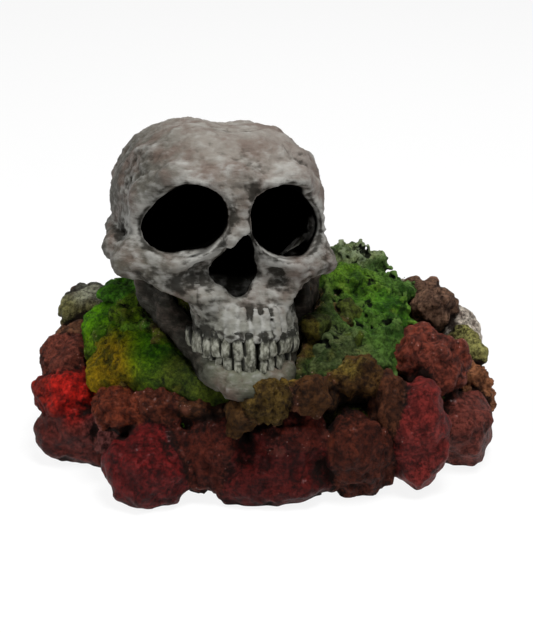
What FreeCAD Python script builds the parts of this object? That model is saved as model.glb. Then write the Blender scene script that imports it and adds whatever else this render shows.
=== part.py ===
import FreeCAD, Part
import math
import os

# Aquarium bubbling ornament: a hollow cast skull on a hollow rock base, with its air parts inside.
# Millimetres. +Z is up, the skull looks towards -Y, and the origin is the middle of the base's underside.

V = FreeCAD.Vector

# ---- rock base -------------------------------------------------------------------------------------------
base_length = 182.0          # left to right over the boulders, X
base_depth = 132.0           # front to back over the boulders, Y
base_wall = 5.0              # wall of the hollow rock casting
plate_thick = 3.0            # closing plate under the casting
plate_rebate = 2.0           # how deep the plate is let into the wall
fit_gap = 0.3                # clearance between two castings, and round the plate
throat_r = 12.0              # passage that lets bubbles rise from the base into the skull
flood_hole_r = 4.0           # holes that let the base fill with water
flood_hole_ring = 27.0       # their distance from the air stone's middle

# ---- skull -----------------------------------------------------------------------------------------------
skull_at = V(-14.0, -22.0, 102.5)   # middle of the face, between the eye sockets
skull_yaw, skull_pitch, skull_roll = 13.0, 12.0, 4.0    # turned right, leaning back, right side low
lobe_r = V(32.0, 52.0, 33.0)        # half width, length and height of each lobe of the brain case
lobe_x = 9.0                        # each lobe's distance from the middle
vault_at = V(2.0, 32.0, 4.0)
skull_wall = 4.5
socket_r = (13.8, 12.2)             # half width and half height of an eye socket
socket_x, socket_droop = 19.6, 14.0
nose_height, nose_width = 24.0, 19.0
nose_top_z = -4.5
arch_r = 4.2                        # cheek bar
tooth_count = 14
tooth_width, tooth_height = 4.4, 7.6
dental_half, dental_depth = 20.0, 30.0
arch_front = -18.5                  # how far the front teeth stand before the face's middle
bite_z = -50.0                      # height of the bite line, below the face's middle
bite_shift = 4.0                    # the mouth stands a little to the skull's right
bite_gap = 0.4                      # between upper and lower teeth
jaw_height, jaw_wall = 16.0, 8.0
jaw_groove = 3.0                    # the dark groove beside the jaw
jaw_back = 22.0
ramus_thick, ramus_width, ramus_flare = 5.5, 17.0, 8.0
ramus_top_z = -14.0

# ---- air parts -------------------------------------------------------------------------------------------
line_bore_r = 1.4            # air passage
spigot_r = 2.4               # takes a 4 mm bore air line
spigot_length = 13.0
tube_r = 3.4                 # outside of the inner silicone tube
tube_grip = 9.0              # how far the tube is pushed onto each spigot
tube_bend_r = 24.0
inlet_x = 36.0
inlet_wall = 6.0             # rock wall that the inlet is clamped on
inlet_recess_r = 12.0
inlet_thread_r = 4.0
inlet_hole_gap = 0.3
flange_r, flange_thick = 7.5, 2.0
washer_thick = 1.5
nut_across, nut_thick = 13.0, 4.0
stone_r, stone_length = 9.0, 30.0
stem_flange_r, stem_flange_thick = 5.5, 2.0
stem_plug_r, stem_plug_length = 2.9, 8.0
cradle_wall, cradle_width = 2.2, 12.0
cradle_foot = 8.0
screw_r, screw_head_r, screw_head_h = 1.25, 2.6, 1.6
plate_screw_r, plate_screw_head_r, plate_screw_head_h = 1.5, 3.0, 1.8
plate_screw_length = 9.0
boss_r = 5.5

SHAPED_LENGTH, SHAPED_DEPTH = 182.0, 132.0      # the base size that the boulders below were placed on
along, across = base_length / SHAPED_LENGTH, base_depth / SHAPED_DEPTH

# Boulders of the casting: middle, half sizes, turn about Z.
BOULDERS = [
    ((-75, 43, 43), (11, 12, 9), 20), ((-73, 28, 44), (12, 14, 9), -15), ((-75, 13, 39), (12, 13, 9), 10),
    ((-79, 0, 34), (11, 14, 12), 0), ((-76, -11, 26), (14, 14, 11), 15), ((-70, -20, 14), (20, 17, 15), -10),
    ((-44, -45, 20), (17, 17, 20), 25), ((-50, -33, 35), (18, 14, 10), -10), ((-17, -45, 24), (18, 12, 20), 5),
    ((-22, -37, 38), (17, 12, 8), 0), ((5, -44, 41), (9, 8, 9), 10), ((7, -46, 19), (22, 12, 15), 0),
    ((35, -45, 24), (16, 12, 18), 15), ((47, -37, 31), (11, 12, 17), -20), ((58, -38, 23), (11, 16, 22), 10),
    ((34, -34, 44), (10, 9, 9), 0), ((64, -11, 40), (16, 16, 14), 25), ((76, -14, 16), (15, 17, 14), -15),
    ((81, 18, 32), (9, 11, 11), 0), ((82, 5, 20), (9, 13, 12), 10), ((62, 42, 45), (9, 10, 9), 0),
    ((70, 30, 40), (12, 13, 11), -10), ((78, 36, 30), (12, 14, 14), 15), ((-80, 24, 18), (11, 18, 17), 0),
    ((-50, 50, 24), (22, 15, 22), 15), ((-16, 55, 22), (19, 12, 20), -5), ((14, 54, 26), (15, 12, 20), 10),
    ((58, 50, 22), (17, 14, 20), -10), ((74, 22, 16), (17, 18, 15), 0), ((-70, 40, 18), (16, 16, 17), 30),
    ((-50, 34, 44), (15, 13, 12), 20), ((-20, 47, 42), (17, 12, 12), -10), ((12, 44, 43), (15, 12, 12), 10),
]

# The casting's core, as ellipses: height, middle x and y, half sizes.
CORE = [
    (0, 0, 4, 77, 48), (20, 0, 4, 77, 47), (36, -3, 5, 69, 43), (48, -10, 8, 55, 37), (60, -18, 12, 41, 32),
    (67, -19, 14, 33, 28),
]

# Clumps of the spongy moss piece beside the skull.
MOSS = [
    ((36, 44, 54), (15, 12, 14), 10), ((48, 32, 48), (13, 12, 11), -20), ((34, 24, 52), (15, 14, 13), 0),
    ((44, 12, 46), (14, 13, 11), 15), ((31, 4, 46), (11, 13, 11), -10), ((44, -6, 43), (12, 12, 10), 5),
    ((28, -15, 43), (10, 13, 9), 20),
]


def spot(x, y):
    """A place on the base, moved with the base's length and depth."""
    return x * along, y * across


def rock(middle, half, turn):
    """A faceted boulder: a once divided icosahedron, stretched, roughened and turned about Z."""
    g = (1 + math.sqrt(5)) / 2
    corners = [V(a, b, 0) for a in (-1, 1) for b in (-g, g)]
    corners = [V(*p) for c in corners for p in ((c.x, c.y, 0), (0, c.x, c.y), (c.y, 0, c.x))]
    corners = [c.normalize() for c in corners]
    edge = min((corners[0] - c).Length for c in corners[1:])
    near = lambda a, b: (a - b).Length < edge * 1.01
    faces = [
        (a, b, c)
        for i, a in enumerate(corners) for j, b in enumerate(corners[i + 1:], i + 1) for c in corners[j + 1:]
        if near(a, b) and near(b, c) and near(a, c)
    ]
    x, y = spot(middle[0], middle[1])
    stretch = V(half[0] * along, half[1] * across, half[2])
    spin = FreeCAD.Rotation(V(0, 0, 1), turn)

    def place(p):
        """The point of the boulder's skin in the direction p."""
        n = V(p).normalize()
        lump = 1 + 0.05 * math.sin(3.1 * n.x + middle[0]) * math.cos(2.7 * n.z + middle[1])
        return V(x, y, middle[2]) + spin.multVec(V(n.x * stretch.x, n.y * stretch.y, n.z * stretch.z) * lump)

    skin = []
    for a, b, c in faces:
        ab, bc, ca = a + b, b + c, c + a
        for tri in ((a, ab, ca), (b, bc, ab), (c, ca, bc), (ab, bc, ca)):
            points = [place(p) for p in tri]
            skin.append(Part.Face(Part.makePolygon(points + points[:1])))
    solid = Part.Solid(Part.Shell(skin))
    if solid.Volume < 0:
        solid.reverse()
    return solid


def ring(z, x, y, rx, ry):
    """A level ellipse, as a closed spline that starts at +X."""
    steps = 16
    points = [
        V(x + rx * math.cos(2 * math.pi * i / steps), y + ry * math.sin(2 * math.pi * i / steps), z)
        for i in range(steps)
    ]
    curve = Part.BSplineCurve()
    curve.interpolate(Points=points, PeriodicFlag=True)
    return Part.Wire(curve.toShape())


def core_ring(row, inset, height):
    """The core's outline of one row, taken in by inset and drawn at a height."""
    x, y = spot(row[1], row[2])
    return ring(height, x, y, row[3] * along - inset, row[4] * across - inset)


def mound(inset, bottom, top_drop):
    """The core's solid from the bottom up, taken in by inset all round and lowered at its top."""
    wires = [core_ring(CORE[0], inset, bottom)]
    wires += [core_ring(row, inset, row[0]) for row in CORE[1:-1]]
    wires.append(core_ring(CORE[-1], inset, CORE[-1][0] - top_drop))
    return Part.makeLoft(wires, True, False)


def plate_blank(inset, bottom, top):
    """A slab with the outline of the closing plate's seat."""
    return Part.Face(core_ring(CORE[0], inset, bottom)).extrude(V(0, 0, top - bottom))


def lobes(inset):
    """The two overlapping lobes of the brain case, taken in by inset."""
    half = lobe_r - V(inset, inset, inset)
    pair = []
    for side in (-1, 1):
        m = FreeCAD.Matrix()
        m.scale(half)
        m.move(vault_at + V(side * lobe_x, 0, 0))
        pair.append(Part.makeSphere(1.0).transformGeometry(m))
    return pair[0].fuse(pair[1])


def face_ring(z, half, front, back, shift):
    """A level section through the face: a rounded oblong."""
    steps, power = 20, 0.72
    points = []
    for i in range(steps):
        c, s = math.cos(2 * math.pi * i / steps), math.sin(2 * math.pi * i / steps)
        middle = (front + back) / 2
        reach = (back - front) / 2
        points.append(V(
            shift + half * math.copysign(abs(c) ** power, c),
            middle + reach * math.copysign(abs(s) ** power, s), z,
        ))
    curve = Part.BSplineCurve()
    curve.interpolate(Points=points, PeriodicFlag=True)
    return Part.Wire(curve.toShape())


# Sections of the face: height, half width, front, and shift to the right.
FACE = [(24, 22, 4, 1), (13, 34, -7, 1), (0, 36, -9, 0), (-13, 39, -8, 0), (-24, 33, -10, 1), (-34, 28, -14, 2.5)]
face_back = 20.0


def face_block(inset, low, high):
    """The face's solid between two heights, taken in by inset."""
    rows = [(high,) + FACE[0][1:]] + [f for f in FACE[1:] if low + 4 < f[0] < high - 4]
    rows.append((low, dental_half + 1.5, arch_front + 1.0, bite_shift))
    wires = [face_ring(z, half - inset, front + inset, face_back - inset, x) for z, half, front, x in rows]
    return Part.makeLoft(wires, True, False)


def arch_spot(share, outset=0.0):
    """A place on the dental arch, and the way it faces, for a share from -1 (left) to 1 (right)."""
    angle = share * math.radians(78)
    x = bite_shift + (dental_half + outset) * math.sin(angle)
    y = arch_front + dental_depth - (dental_depth + outset) * math.cos(angle)
    return V(x, y, 0), math.degrees(angle)


def teeth(low, high, taper):
    """A row of teeth between two heights, each a tapered block on the dental arch."""
    row = []
    for i in range(tooth_count):
        share = (2 * i + 1) / tooth_count - 1
        middle, facing = arch_spot(share)
        wide, deep = tooth_width * 0.92, tooth_width
        wires = []
        for z, k in ((low, 1.0 if taper < 0 else 1 - taper), (high, 1.0 if taper > 0 else 1 + taper)):
            p = [V(sx * wide * k / 2, sy * deep * k / 2, z) for sx, sy in ((-1, -1), (1, -1), (1, 1), (-1, 1))]
            wires.append(Part.makePolygon(p + p[:1]))
        block = Part.makeLoft(wires, True, True)
        block.Placement = FreeCAD.Placement(middle, FreeCAD.Rotation(V(0, 0, 1), facing))
        row.append(block)
    return row


def rod(start, end, radius):
    """A round bar between two points."""
    return Part.makeCylinder(radius, (end - start).Length, start, end - start)


def capsule(start, end, radius):
    """A round bar with round ends."""
    ends = [Part.makeSphere(radius, p) for p in (start, end)]
    return rod(start, end, radius).multiFuse(ends)


def extruded(points, direction, smooth=True):
    """A prism over a closed outline."""
    if smooth:
        curve = Part.BSplineCurve()
        curve.interpolate(Points=points, PeriodicFlag=True)
        wire = Part.Wire(curve.toShape())
    else:
        wire = Part.makePolygon(points + points[:1])
    return Part.Face(wire).extrude(direction)


skull_place = FreeCAD.Placement(
    skull_at,
    FreeCAD.Rotation(V(0, 0, 1), skull_yaw)
    * FreeCAD.Rotation(V(0, 1, 0), skull_roll)
    * FreeCAD.Rotation(V(1, 0, 0), -skull_pitch),
)
throat_at = skull_place.multVec(vault_at + V(0, 0, -lobe_r.z))      # under the brain case


def socket(side):
    """The cut of one eye socket, from in front of the face into the hollow."""
    droop = math.radians(-side * socket_droop)
    points = []
    for i in range(14):
        a = 2 * math.pi * i / 14
        x, z = socket_r[0] * math.cos(a), socket_r[1] * math.sin(a)
        points.append(V(
            side * socket_x + x * math.cos(droop) - z * math.sin(droop), -30,
            x * math.sin(droop) + z * math.cos(droop),
        ))
    return extruded(points, V(0, 55, 0))


def nose():
    """The cut of the pear-shaped nose opening."""
    half, low = nose_width / 2, nose_top_z - nose_height
    right = [V(0.36 * half, -30, nose_top_z - 1.5), V(0.72 * half, -30, nose_top_z - 0.35 * nose_height),
             V(half, -30, low + 0.26 * nose_height), V(0.68 * half, -30, low + 0.06 * nose_height)]
    left = [V(-p.x, p.y, p.z) for p in reversed(right)]
    points = [V(0, -30, nose_top_z)] + right + [V(0, -30, low)] + left
    return extruded(points, V(0, 50, 0))


def skull_casting():
    """The brain case, face, cheek bars and upper teeth in one hollow casting."""
    outer = lobes(0)
    root = bite_z + tooth_height
    face = face_block(0, root - 0.5, FACE[0][0])
    solid = outer.multiFuse([face] + cheek_bars(0) + teeth(bite_z + bite_gap / 2, root + 2, 0.22))
    hollow = lobes(skull_wall).fuse(face_block(skull_wall + 0.5, root + 10, 14))
    solid = solid.cut(hollow)
    solid = solid.cut(socket(-1).fuse(socket(1)).fuse(nose()))
    solid.Placement = skull_place
    throat = Part.makeCylinder(throat_r, 30, throat_at - V(0, 0, 15))
    return biggest(solid.cut(throat))


jaw_top = bite_z - bite_gap / 2 - tooth_height
jaw_low = bite_z - jaw_height


def jaw_line(z, outset):
    """The jaw's closed outline seen from above: the dental arch in front, straight across the back."""
    points = []
    for i in range(13):
        angle = (i / 6 - 1) * math.radians(70)
        x = bite_shift + (dental_half + 3 + outset) * math.sin(angle)
        points.append(V(x, arch_front + 1 + dental_depth - (dental_depth + outset) * math.cos(angle), z))
    spread = dental_half + 8 + outset
    back = jaw_back + outset / 2
    points = [V(bite_shift - spread, back, z)] + points + [V(bite_shift + spread, back, z)]
    curve = Part.BSplineCurve()
    curve.interpolate(Points=points)
    return Part.Wire([curve.toShape(), Part.makeLine(points[-1], points[0])])


def jaw_block(outset, low, high):
    """The filled jaw between two heights, narrower at the chin."""
    lines = [jaw_line(low, outset - 6), jaw_line((low + high) / 2, outset - 1), jaw_line(high, outset)]
    return Part.makeLoft(lines, True, True)


def ramus(side, gap):
    """One rising branch of the jaw, flared outwards to its top and grown by gap."""
    rows = []
    for z, shift, front in ((jaw_low + 8 - gap, 0, 12), (ramus_top_z, ramus_flare, 24)):
        x0 = dental_half + 1 + shift - gap
        x1 = x0 + ramus_thick + 2 * gap
        y0, y1 = front - gap, front + ramus_width + gap
        p = [V(side * x, y, z) for x, y in ((x0, y0), (x1, y0 + 2), (x1, y1), (x0, y1))]
        p = [q + V(bite_shift, 0, 0) for q in p]
        rows.append(Part.makePolygon(p + p[:1]))
    solid = Part.makeLoft(rows, True, True)
    if solid.Volume < 0:
        solid.reverse()
    return solid


def cheek_bars(gap):
    """The cheek bars of both sides, grown by gap: front lengths first."""
    bars = []
    for side in (-1, 1):
        bars.append(capsule(V(side * 36, 2, -13), V(side * 40, 22, -12), arch_r + gap))
        bars.append(capsule(V(side * 40, 22, -12), V(side * 37, 46, -8), arch_r * 0.8 + gap))
    return bars


def lower_jaw():
    """The horseshoe of the lower jaw, its two rising branches and its teeth."""
    body = jaw_block(0, jaw_low, jaw_top + 1).cut(jaw_block(-jaw_wall, jaw_low - 1, jaw_top + 2))
    solid = body.multiFuse([ramus(-1, 0), ramus(1, 0)] + teeth(jaw_top, bite_z - bite_gap / 2, -0.2))
    face = face_block(-fit_gap, bite_z + tooth_height - 0.8, FACE[0][0])
    solid = solid.cut(lobes(-fit_gap).multiFuse([face] + cheek_bars(fit_gap)))
    solid = biggest(solid)
    solid.Placement = skull_place
    return solid


def biggest(shape):
    """The largest solid of a shape, with its seams tidied."""
    return max(shape.Solids, key=lambda s: s.Volume)


def head_seat():
    """What the rock leaves free for the head: the brain case, the jaw and the groove beside the jaw."""
    jaw = jaw_block(jaw_groove, jaw_low - fit_gap, bite_z + 4)
    parts = [face_block(-fit_gap - 1, bite_z, FACE[0][0]), jaw, ramus(-1, 1.0), ramus(1, 1.0)]
    seat = lobes(-fit_gap).multiFuse(parts + cheek_bars(fit_gap))
    seat.Placement = skull_place
    return seat


inner_wall_y = CORE[1][2] * across + (CORE[1][4] * across - base_wall) * math.sqrt(
    1 - (inlet_x / (CORE[1][3] * along - base_wall)) ** 2
)
inlet_face_y = inner_wall_y + inlet_wall        # the flat bottom of the recess, where the washer sits


def plate_screw_places():
    """The four bosses of the closing plate, inside the casting's wall."""
    return [spot(sx * 50, CORE[0][2] + sy * 26) for sx in (-1, 1) for sy in (-1, 1)]


def rock_base(seat):
    """The hollow casting of the boulders, with its head seat, throat, screw bosses and inlet hole."""
    pad = Part.makeCylinder(
        inlet_recess_r + 2, inlet_wall + 8, V(inlet_x, inner_wall_y, inlet_z), V(0, 1, 0)
    )
    solid = mound(0, 0, 0).multiFuse([pad] + [rock(*b) for b in BOULDERS])
    ground = Part.makeBox(400, 400, 100, V(-200, -200, -100))
    rebate = plate_blank(base_wall - plate_rebate, -1, plate_thick)
    bosses = [
        Part.makeCylinder(boss_r, plate_screw_length + 4, V(x, y, plate_thick)) for x, y in plate_screw_places()
    ]
    cavity = mound(base_wall, -1, base_wall + 3).cut(Part.makeCompound(bosses))
    recess = Part.makeCylinder(inlet_recess_r, 120, V(inlet_x, inlet_face_y, inlet_z), V(0, 1, 0))
    inner_flat = Part.makeBox(
        nut_across + 5, 12, nut_across + 5,
        V(inlet_x - nut_across / 2 - 2.5, inner_wall_y - 12, inlet_z - nut_across / 2 - 2.5),
    )
    hole = Part.makeCylinder(
        inlet_thread_r + inlet_hole_gap, 40, V(inlet_x, inner_wall_y - 20, inlet_z), V(0, 1, 0)
    )
    throat = Part.makeCylinder(throat_r + 2, 60, V(throat_at.x, throat_at.y, 35))
    pilots = [
        Part.makeCylinder(plate_screw_r, plate_screw_length + 1, V(x, y, plate_thick - 1))
        for x, y in plate_screw_places()
    ]
    for tool in [ground, cavity, rebate, recess, inner_flat, hole, throat, seat] + pilots:
        solid = solid.cut(tool)
    return biggest(solid)


def moss_clump(base, seat):
    """The spongy clump glued into the corner beside the skull, cut to the rock and clear of the skull."""
    lumps = [rock(*m) for m in MOSS]
    solid = lumps[0].multiFuse(lumps[1:])
    return biggest(solid.cut(seat).cut(base))


stone_z = plate_thick + cradle_wall + stone_r
inlet_z = stone_z
stone_left = throat_at.x - stone_length / 2
stone_right = throat_at.x + stone_length / 2


def base_plate():
    """The closing plate, with flood holes round the stone and holes for its screws."""
    plate = plate_blank(base_wall - plate_rebate + fit_gap, 0, plate_thick)
    for i in range(6):
        a = math.radians(30 + 60 * i)
        centre = V(throat_at.x + flood_hole_ring * math.cos(a), throat_at.y + flood_hole_ring * math.sin(a), -1)
        plate = plate.cut(Part.makeCylinder(flood_hole_r, plate_thick + 2, centre))
    for x, y in plate_screw_places():
        plate = plate.cut(Part.makeCylinder(plate_screw_r, plate_thick + 2, V(x, y, -1)))
        plate = plate.cut(Part.makeCylinder(plate_screw_head_r + 0.2, plate_screw_head_h, V(x, y, 0)))
    for x, y in cradle_screw_places():
        plate = plate.cut(Part.makeCylinder(screw_r, plate_thick + 2, V(x, y, -1)))
    return plate


def screw(x, y, z, radius, length, head_r, head_h, up):
    """A round-headed screw whose head's bearing face is at z and whose shank points up or down."""
    way = 1 if up else -1
    shank = Part.makeCylinder(radius, length, V(x, y, z), V(0, 0, way))
    head = Part.makeCylinder(head_r, head_h, V(x, y, z), V(0, 0, -way))
    slot = Part.makeBox(2 * head_r + 1, 0.7, 0.7, V(x - head_r - 0.5, y - 0.35, 0))
    slot.translate(V(0, 0, z - way * head_h - (0 if up else 0.7)))
    return shank.fuse(head).cut(slot)


def plate_screws():
    """Four screws, heads sunk in the plate."""
    return [
        screw(x, y, plate_screw_head_h, plate_screw_r, plate_screw_length, plate_screw_head_r,
              plate_screw_head_h - 0.4, True)
        for x, y in plate_screw_places()
    ]


def cradle_screw_places():
    """The two feet of the stone's cradle."""
    reach = stone_r + cradle_wall + cradle_foot / 2
    return [(throat_at.x, throat_at.y + s * reach) for s in (-1, 1)]


def stone_cradle():
    """An open saddle that holds the air stone, with a foot at each side."""
    x0 = throat_at.x - cradle_width / 2
    sleeve = Part.makeCylinder(stone_r + cradle_wall, cradle_width, V(x0, throat_at.y, stone_z), V(1, 0, 0))
    reach = stone_r + cradle_wall + cradle_foot
    feet = Part.makeBox(cradle_width, 2 * reach, cradle_wall, V(x0, throat_at.y - reach, plate_thick))
    body = sleeve.fuse(feet)
    body = body.cut(Part.makeCylinder(stone_r, cradle_width + 2, V(x0 - 1, throat_at.y, stone_z), V(1, 0, 0)))
    mouth = Part.makeBox(
        cradle_width + 2, 4 * stone_r, 3 * stone_r, V(x0 - 1, throat_at.y - 2 * stone_r, stone_z + stone_r * 0.25)
    )
    body = body.cut(mouth)
    for x, y in cradle_screw_places():
        body = body.cut(Part.makeCylinder(screw_r, 20, V(x, y, plate_thick - 1)))
    return body


def cradle_screws():
    """Two screws that hold the cradle to the plate."""
    top = plate_thick + cradle_wall
    return [
        screw(x, y, top, screw_r, cradle_wall + plate_thick - 0.5, screw_head_r, screw_head_h, False)
        for x, y in cradle_screw_places()
    ]


def air_stone():
    """The sintered stone, with the blind bore that its stem plugs into."""
    body = Part.makeCylinder(stone_r, stone_length, V(stone_left, throat_at.y, stone_z), V(1, 0, 0))
    rim = [e for e in body.Edges if e.Curve.TypeId == "Part::GeomCircle"]
    body = body.makeChamfer(1.0, rim)
    bore = Part.makeCylinder(
        stem_plug_r, stem_plug_length + 0.5, V(stone_right, throat_at.y, stone_z), V(-1, 0, 0)
    )
    return body.cut(bore)


def stone_stem():
    """The plastic stem of the stone: plug, flange and spigot, bored through."""
    at = V(stone_right, throat_at.y, stone_z)
    plug = Part.makeCylinder(stem_plug_r, stem_plug_length, at, V(-1, 0, 0))
    flange = Part.makeCylinder(stem_flange_r, stem_flange_thick, at, V(1, 0, 0))
    spigot = Part.makeCylinder(spigot_r, stem_flange_thick + tube_grip, at, V(1, 0, 0))
    bore = Part.makeCylinder(
        line_bore_r, 60, at - V(30, 0, 0), V(1, 0, 0)
    )
    return plug.multiFuse([flange, spigot]).cut(bore)


def inlet_connector():
    """The bulkhead inlet: hose spigot outside, flange, threaded body and inner spigot."""
    back = V(0, 1, 0)
    outside = inlet_face_y + washer_thick
    flange = Part.makeCylinder(flange_r, flange_thick, V(inlet_x, outside, inlet_z), back)
    spigot = Part.makeCylinder(spigot_r, spigot_length, V(inlet_x, outside + flange_thick, inlet_z), back)
    tip = [e for e in spigot.Edges if e.Curve.TypeId == "Part::GeomCircle"
           and abs(e.CenterOfMass.y - outside - flange_thick - spigot_length) < 0.01]
    spigot = spigot.makeChamfer(0.5, tip)
    body_length = inlet_wall + washer_thick + nut_thick + 2
    body = Part.makeCylinder(inlet_thread_r, body_length, V(inlet_x, outside - body_length, inlet_z), back)
    inner = Part.makeCylinder(
        spigot_r, tube_grip, V(inlet_x, outside - body_length - tube_grip, inlet_z), back
    )
    bore = Part.makeCylinder(line_bore_r, 120, V(inlet_x, outside - 60, inlet_z), back)
    return flange.multiFuse([spigot, body, inner]).cut(bore)


def inlet_washer():
    """The silicone washer under the inlet's flange."""
    at, back = V(inlet_x, inlet_face_y, inlet_z), V(0, 1, 0)
    disc = Part.makeCylinder(flange_r - 0.3, washer_thick, at, back)
    return disc.cut(Part.makeCylinder(inlet_thread_r, washer_thick + 2, at - V(0, 1, 0), back))


def inlet_nut():
    """The hexagonal nut that clamps the inlet from inside."""
    r = nut_across / math.sqrt(3)
    points = [
        V(inlet_x + r * math.cos(math.radians(60 * i)), inner_wall_y, inlet_z + r * math.sin(math.radians(60 * i)))
        for i in range(6)
    ]
    nut = extruded(points, V(0, -nut_thick, 0), smooth=False)
    return nut.cut(Part.makeCylinder(inlet_thread_r, 40, V(inlet_x, inner_wall_y - 20, inlet_z), V(0, 1, 0)))


def air_tube():
    """The silicone tube from the inlet to the stone: in from the back, one wide bend, then left to the stem."""
    start_y = inner_wall_y - nut_thick - 2
    end_x = stone_right + stem_flange_thick
    rise = stone_z - inlet_z
    corner = V(inlet_x, throat_at.y, inlet_z)
    r = tube_bend_r
    middle = corner + V(-r, r, 0)
    half = math.sqrt(0.5) * r
    start = V(inlet_x, start_y, inlet_z)
    bend_in, bend_out = corner + V(0, r, 0), corner + V(-r, 0, 0)
    path = Part.Wire([
        Part.LineSegment(start, bend_in).toShape(),
        Part.Arc(bend_in, middle + V(half, -half, 0), bend_out).toShape(),
        Part.LineSegment(bend_out, V(end_x, throat_at.y, inlet_z)).toShape(),
    ])
    skin = Part.Wire(Part.makeCircle(tube_r, start, V(0, -1, 0)))
    lumen = Part.Wire(Part.makeCircle(spigot_r, start, V(0, -1, 0)))
    tube = path.makePipeShell([skin], True, False).cut(path.makePipeShell([lumen], True, False))
    tube.rotate(corner, V(0, 0, 1), 0)
    assert abs(rise) < 1e-6, "the inlet and the stone lie at one height"
    return tube


def save(name, shape):
    """Writes one piece, or a group of separate solids, as a STEP file."""
    solids = shape if isinstance(shape, list) else shape.Solids
    for s in solids:
        if not s.isValid():
            print("INVALID", name)
    whole = solids[0] if len(solids) == 1 else Part.makeCompound(solids)
    print(name, len(solids), round(sum(s.Volume for s in solids), 1), "mm3")
    whole.exportStep(f"parts/{name}.step")


def main():
    """Builds and saves every piece."""
    os.makedirs("parts", exist_ok=True)
    seat = head_seat()
    base = rock_base(seat)
    save("skull_casting", skull_casting())
    save("lower_jaw", lower_jaw())
    save("rock_base", base)
    save("moss_clump", moss_clump(base, seat))
    save("base_plate", base_plate())
    save("plate_screws", plate_screws())
    save("air_stone", air_stone())
    save("stone_stem", stone_stem())
    save("stone_cradle", stone_cradle())
    save("cradle_screws", cradle_screws())
    save("air_tube", air_tube())
    save("inlet_connector", inlet_connector())
    save("inlet_washer", inlet_washer())
    save("inlet_nut", inlet_nut())


main()
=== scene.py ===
"""Bubbling ornament for an aquarium: a cast skull on a pile of painted boulders, with moss."""
import logging
import math
from dataclasses import dataclass, field
from enum import Enum

import bpy
import numpy as np
from mathutils import Matrix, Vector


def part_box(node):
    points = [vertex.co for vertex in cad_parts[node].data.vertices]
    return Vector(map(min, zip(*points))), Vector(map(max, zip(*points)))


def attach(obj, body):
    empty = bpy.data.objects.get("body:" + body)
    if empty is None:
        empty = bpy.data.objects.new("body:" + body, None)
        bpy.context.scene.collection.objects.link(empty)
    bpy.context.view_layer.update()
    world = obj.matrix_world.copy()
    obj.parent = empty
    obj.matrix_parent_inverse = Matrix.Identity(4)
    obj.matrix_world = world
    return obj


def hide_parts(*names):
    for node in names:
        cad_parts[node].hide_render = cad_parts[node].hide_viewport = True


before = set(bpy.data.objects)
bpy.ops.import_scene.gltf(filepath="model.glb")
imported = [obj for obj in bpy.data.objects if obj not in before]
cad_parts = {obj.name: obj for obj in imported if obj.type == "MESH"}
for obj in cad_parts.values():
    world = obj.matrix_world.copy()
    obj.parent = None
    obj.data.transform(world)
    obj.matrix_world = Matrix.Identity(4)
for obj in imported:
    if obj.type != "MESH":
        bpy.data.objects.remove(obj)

LOG = logging.getLogger("ornament")
MM = 0.001                      # the sculpting below is in millimetres
ROOT = "root"
Array = np.ndarray
Spot = tuple[float, float, float]


# ---- small helpers ---------------------------------------------------------------------------------------
def paint(red: int, green: int, blue: int) -> Spot:
    """Turns a paint given as 0 to 255 display values into linear light."""
    def linear(value: int) -> float:
        """One channel in linear light."""
        part = value / 255
        return part / 12.92 if part <= 0.04045 else ((part + 0.055) / 1.055) ** 2.4
    return linear(red), linear(green), linear(blue)


def turned(yaw: float = 0.0, roll: float = 0.0, pitch: float = 0.0) -> Array:
    """Rotation about Z by yaw, then Y by roll, then X by pitch.

    Args:
        yaw: Degrees about Z.
        roll: Degrees about Y.
        pitch: Degrees about X.

    Returns:
        A 3 by 3 rotation matrix.
    """
    z = Matrix.Rotation(math.radians(yaw), 3, "Z")
    y = Matrix.Rotation(math.radians(roll), 3, "Y")
    x = Matrix.Rotation(math.radians(pitch), 3, "X")
    return np.array(z @ y @ x)


def ramp(value: Array, low: float, high: float) -> Array:
    """Smooth step from 0 at low to 1 at high."""
    t = np.clip((value - low) / (high - low), 0.0, 1.0)
    return t * t * (3 - 2 * t)


class Grain:
    """Smooth seeded noise in space, about -1 to 1."""

    def __init__(self, seed: int) -> None:
        """Prepares the lattice of slopes for a seed."""
        source = np.random.default_rng(seed)
        self.order = source.permutation(512)
        slopes = source.normal(size=(512, 3))
        self.slopes = slopes / np.linalg.norm(slopes, axis=1)[:, None]

    def at(self, points: Array, size: float | Spot) -> Array:
        """Reads one layer of noise.

        Args:
            points: Places, n by 3.
            size: Width of a lump, one number or one for each direction.

        Returns:
            n values.
        """
        where = points / np.asarray(size, float)
        cell = np.floor(where).astype(np.int64)
        part = where - cell
        ease = part ** 3 * (part * (part * 6 - 15) + 10)
        total = np.zeros(len(points))
        for i in (0, 1):
            for j in (0, 1):
                for k in (0, 1):
                    mixed = self.order[(cell[:, 0] + i) & 511]
                    mixed = self.order[(mixed + cell[:, 1] + j) & 511]
                    mixed = self.order[(mixed + cell[:, 2] + k) & 511]
                    lean = ((part - (i, j, k)) * self.slopes[mixed]).sum(1)
                    weight = np.prod(np.where((i, j, k), ease, 1 - ease), axis=1)
                    total += weight * lean
        return total * 1.7

    def layers(self, points: Array, size: float | Spot, count: int = 3, fall: float = 0.5) -> Array:
        """Sums layers of noise, each half the size and fall times the height of the one before."""
        total, strength = np.zeros(len(points)), 1.0
        for layer in range(count):
            total += strength * self.at(points + 31.7 * layer, np.asarray(size, float) / 2 ** layer)
            strength *= fall
        return total


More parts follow.
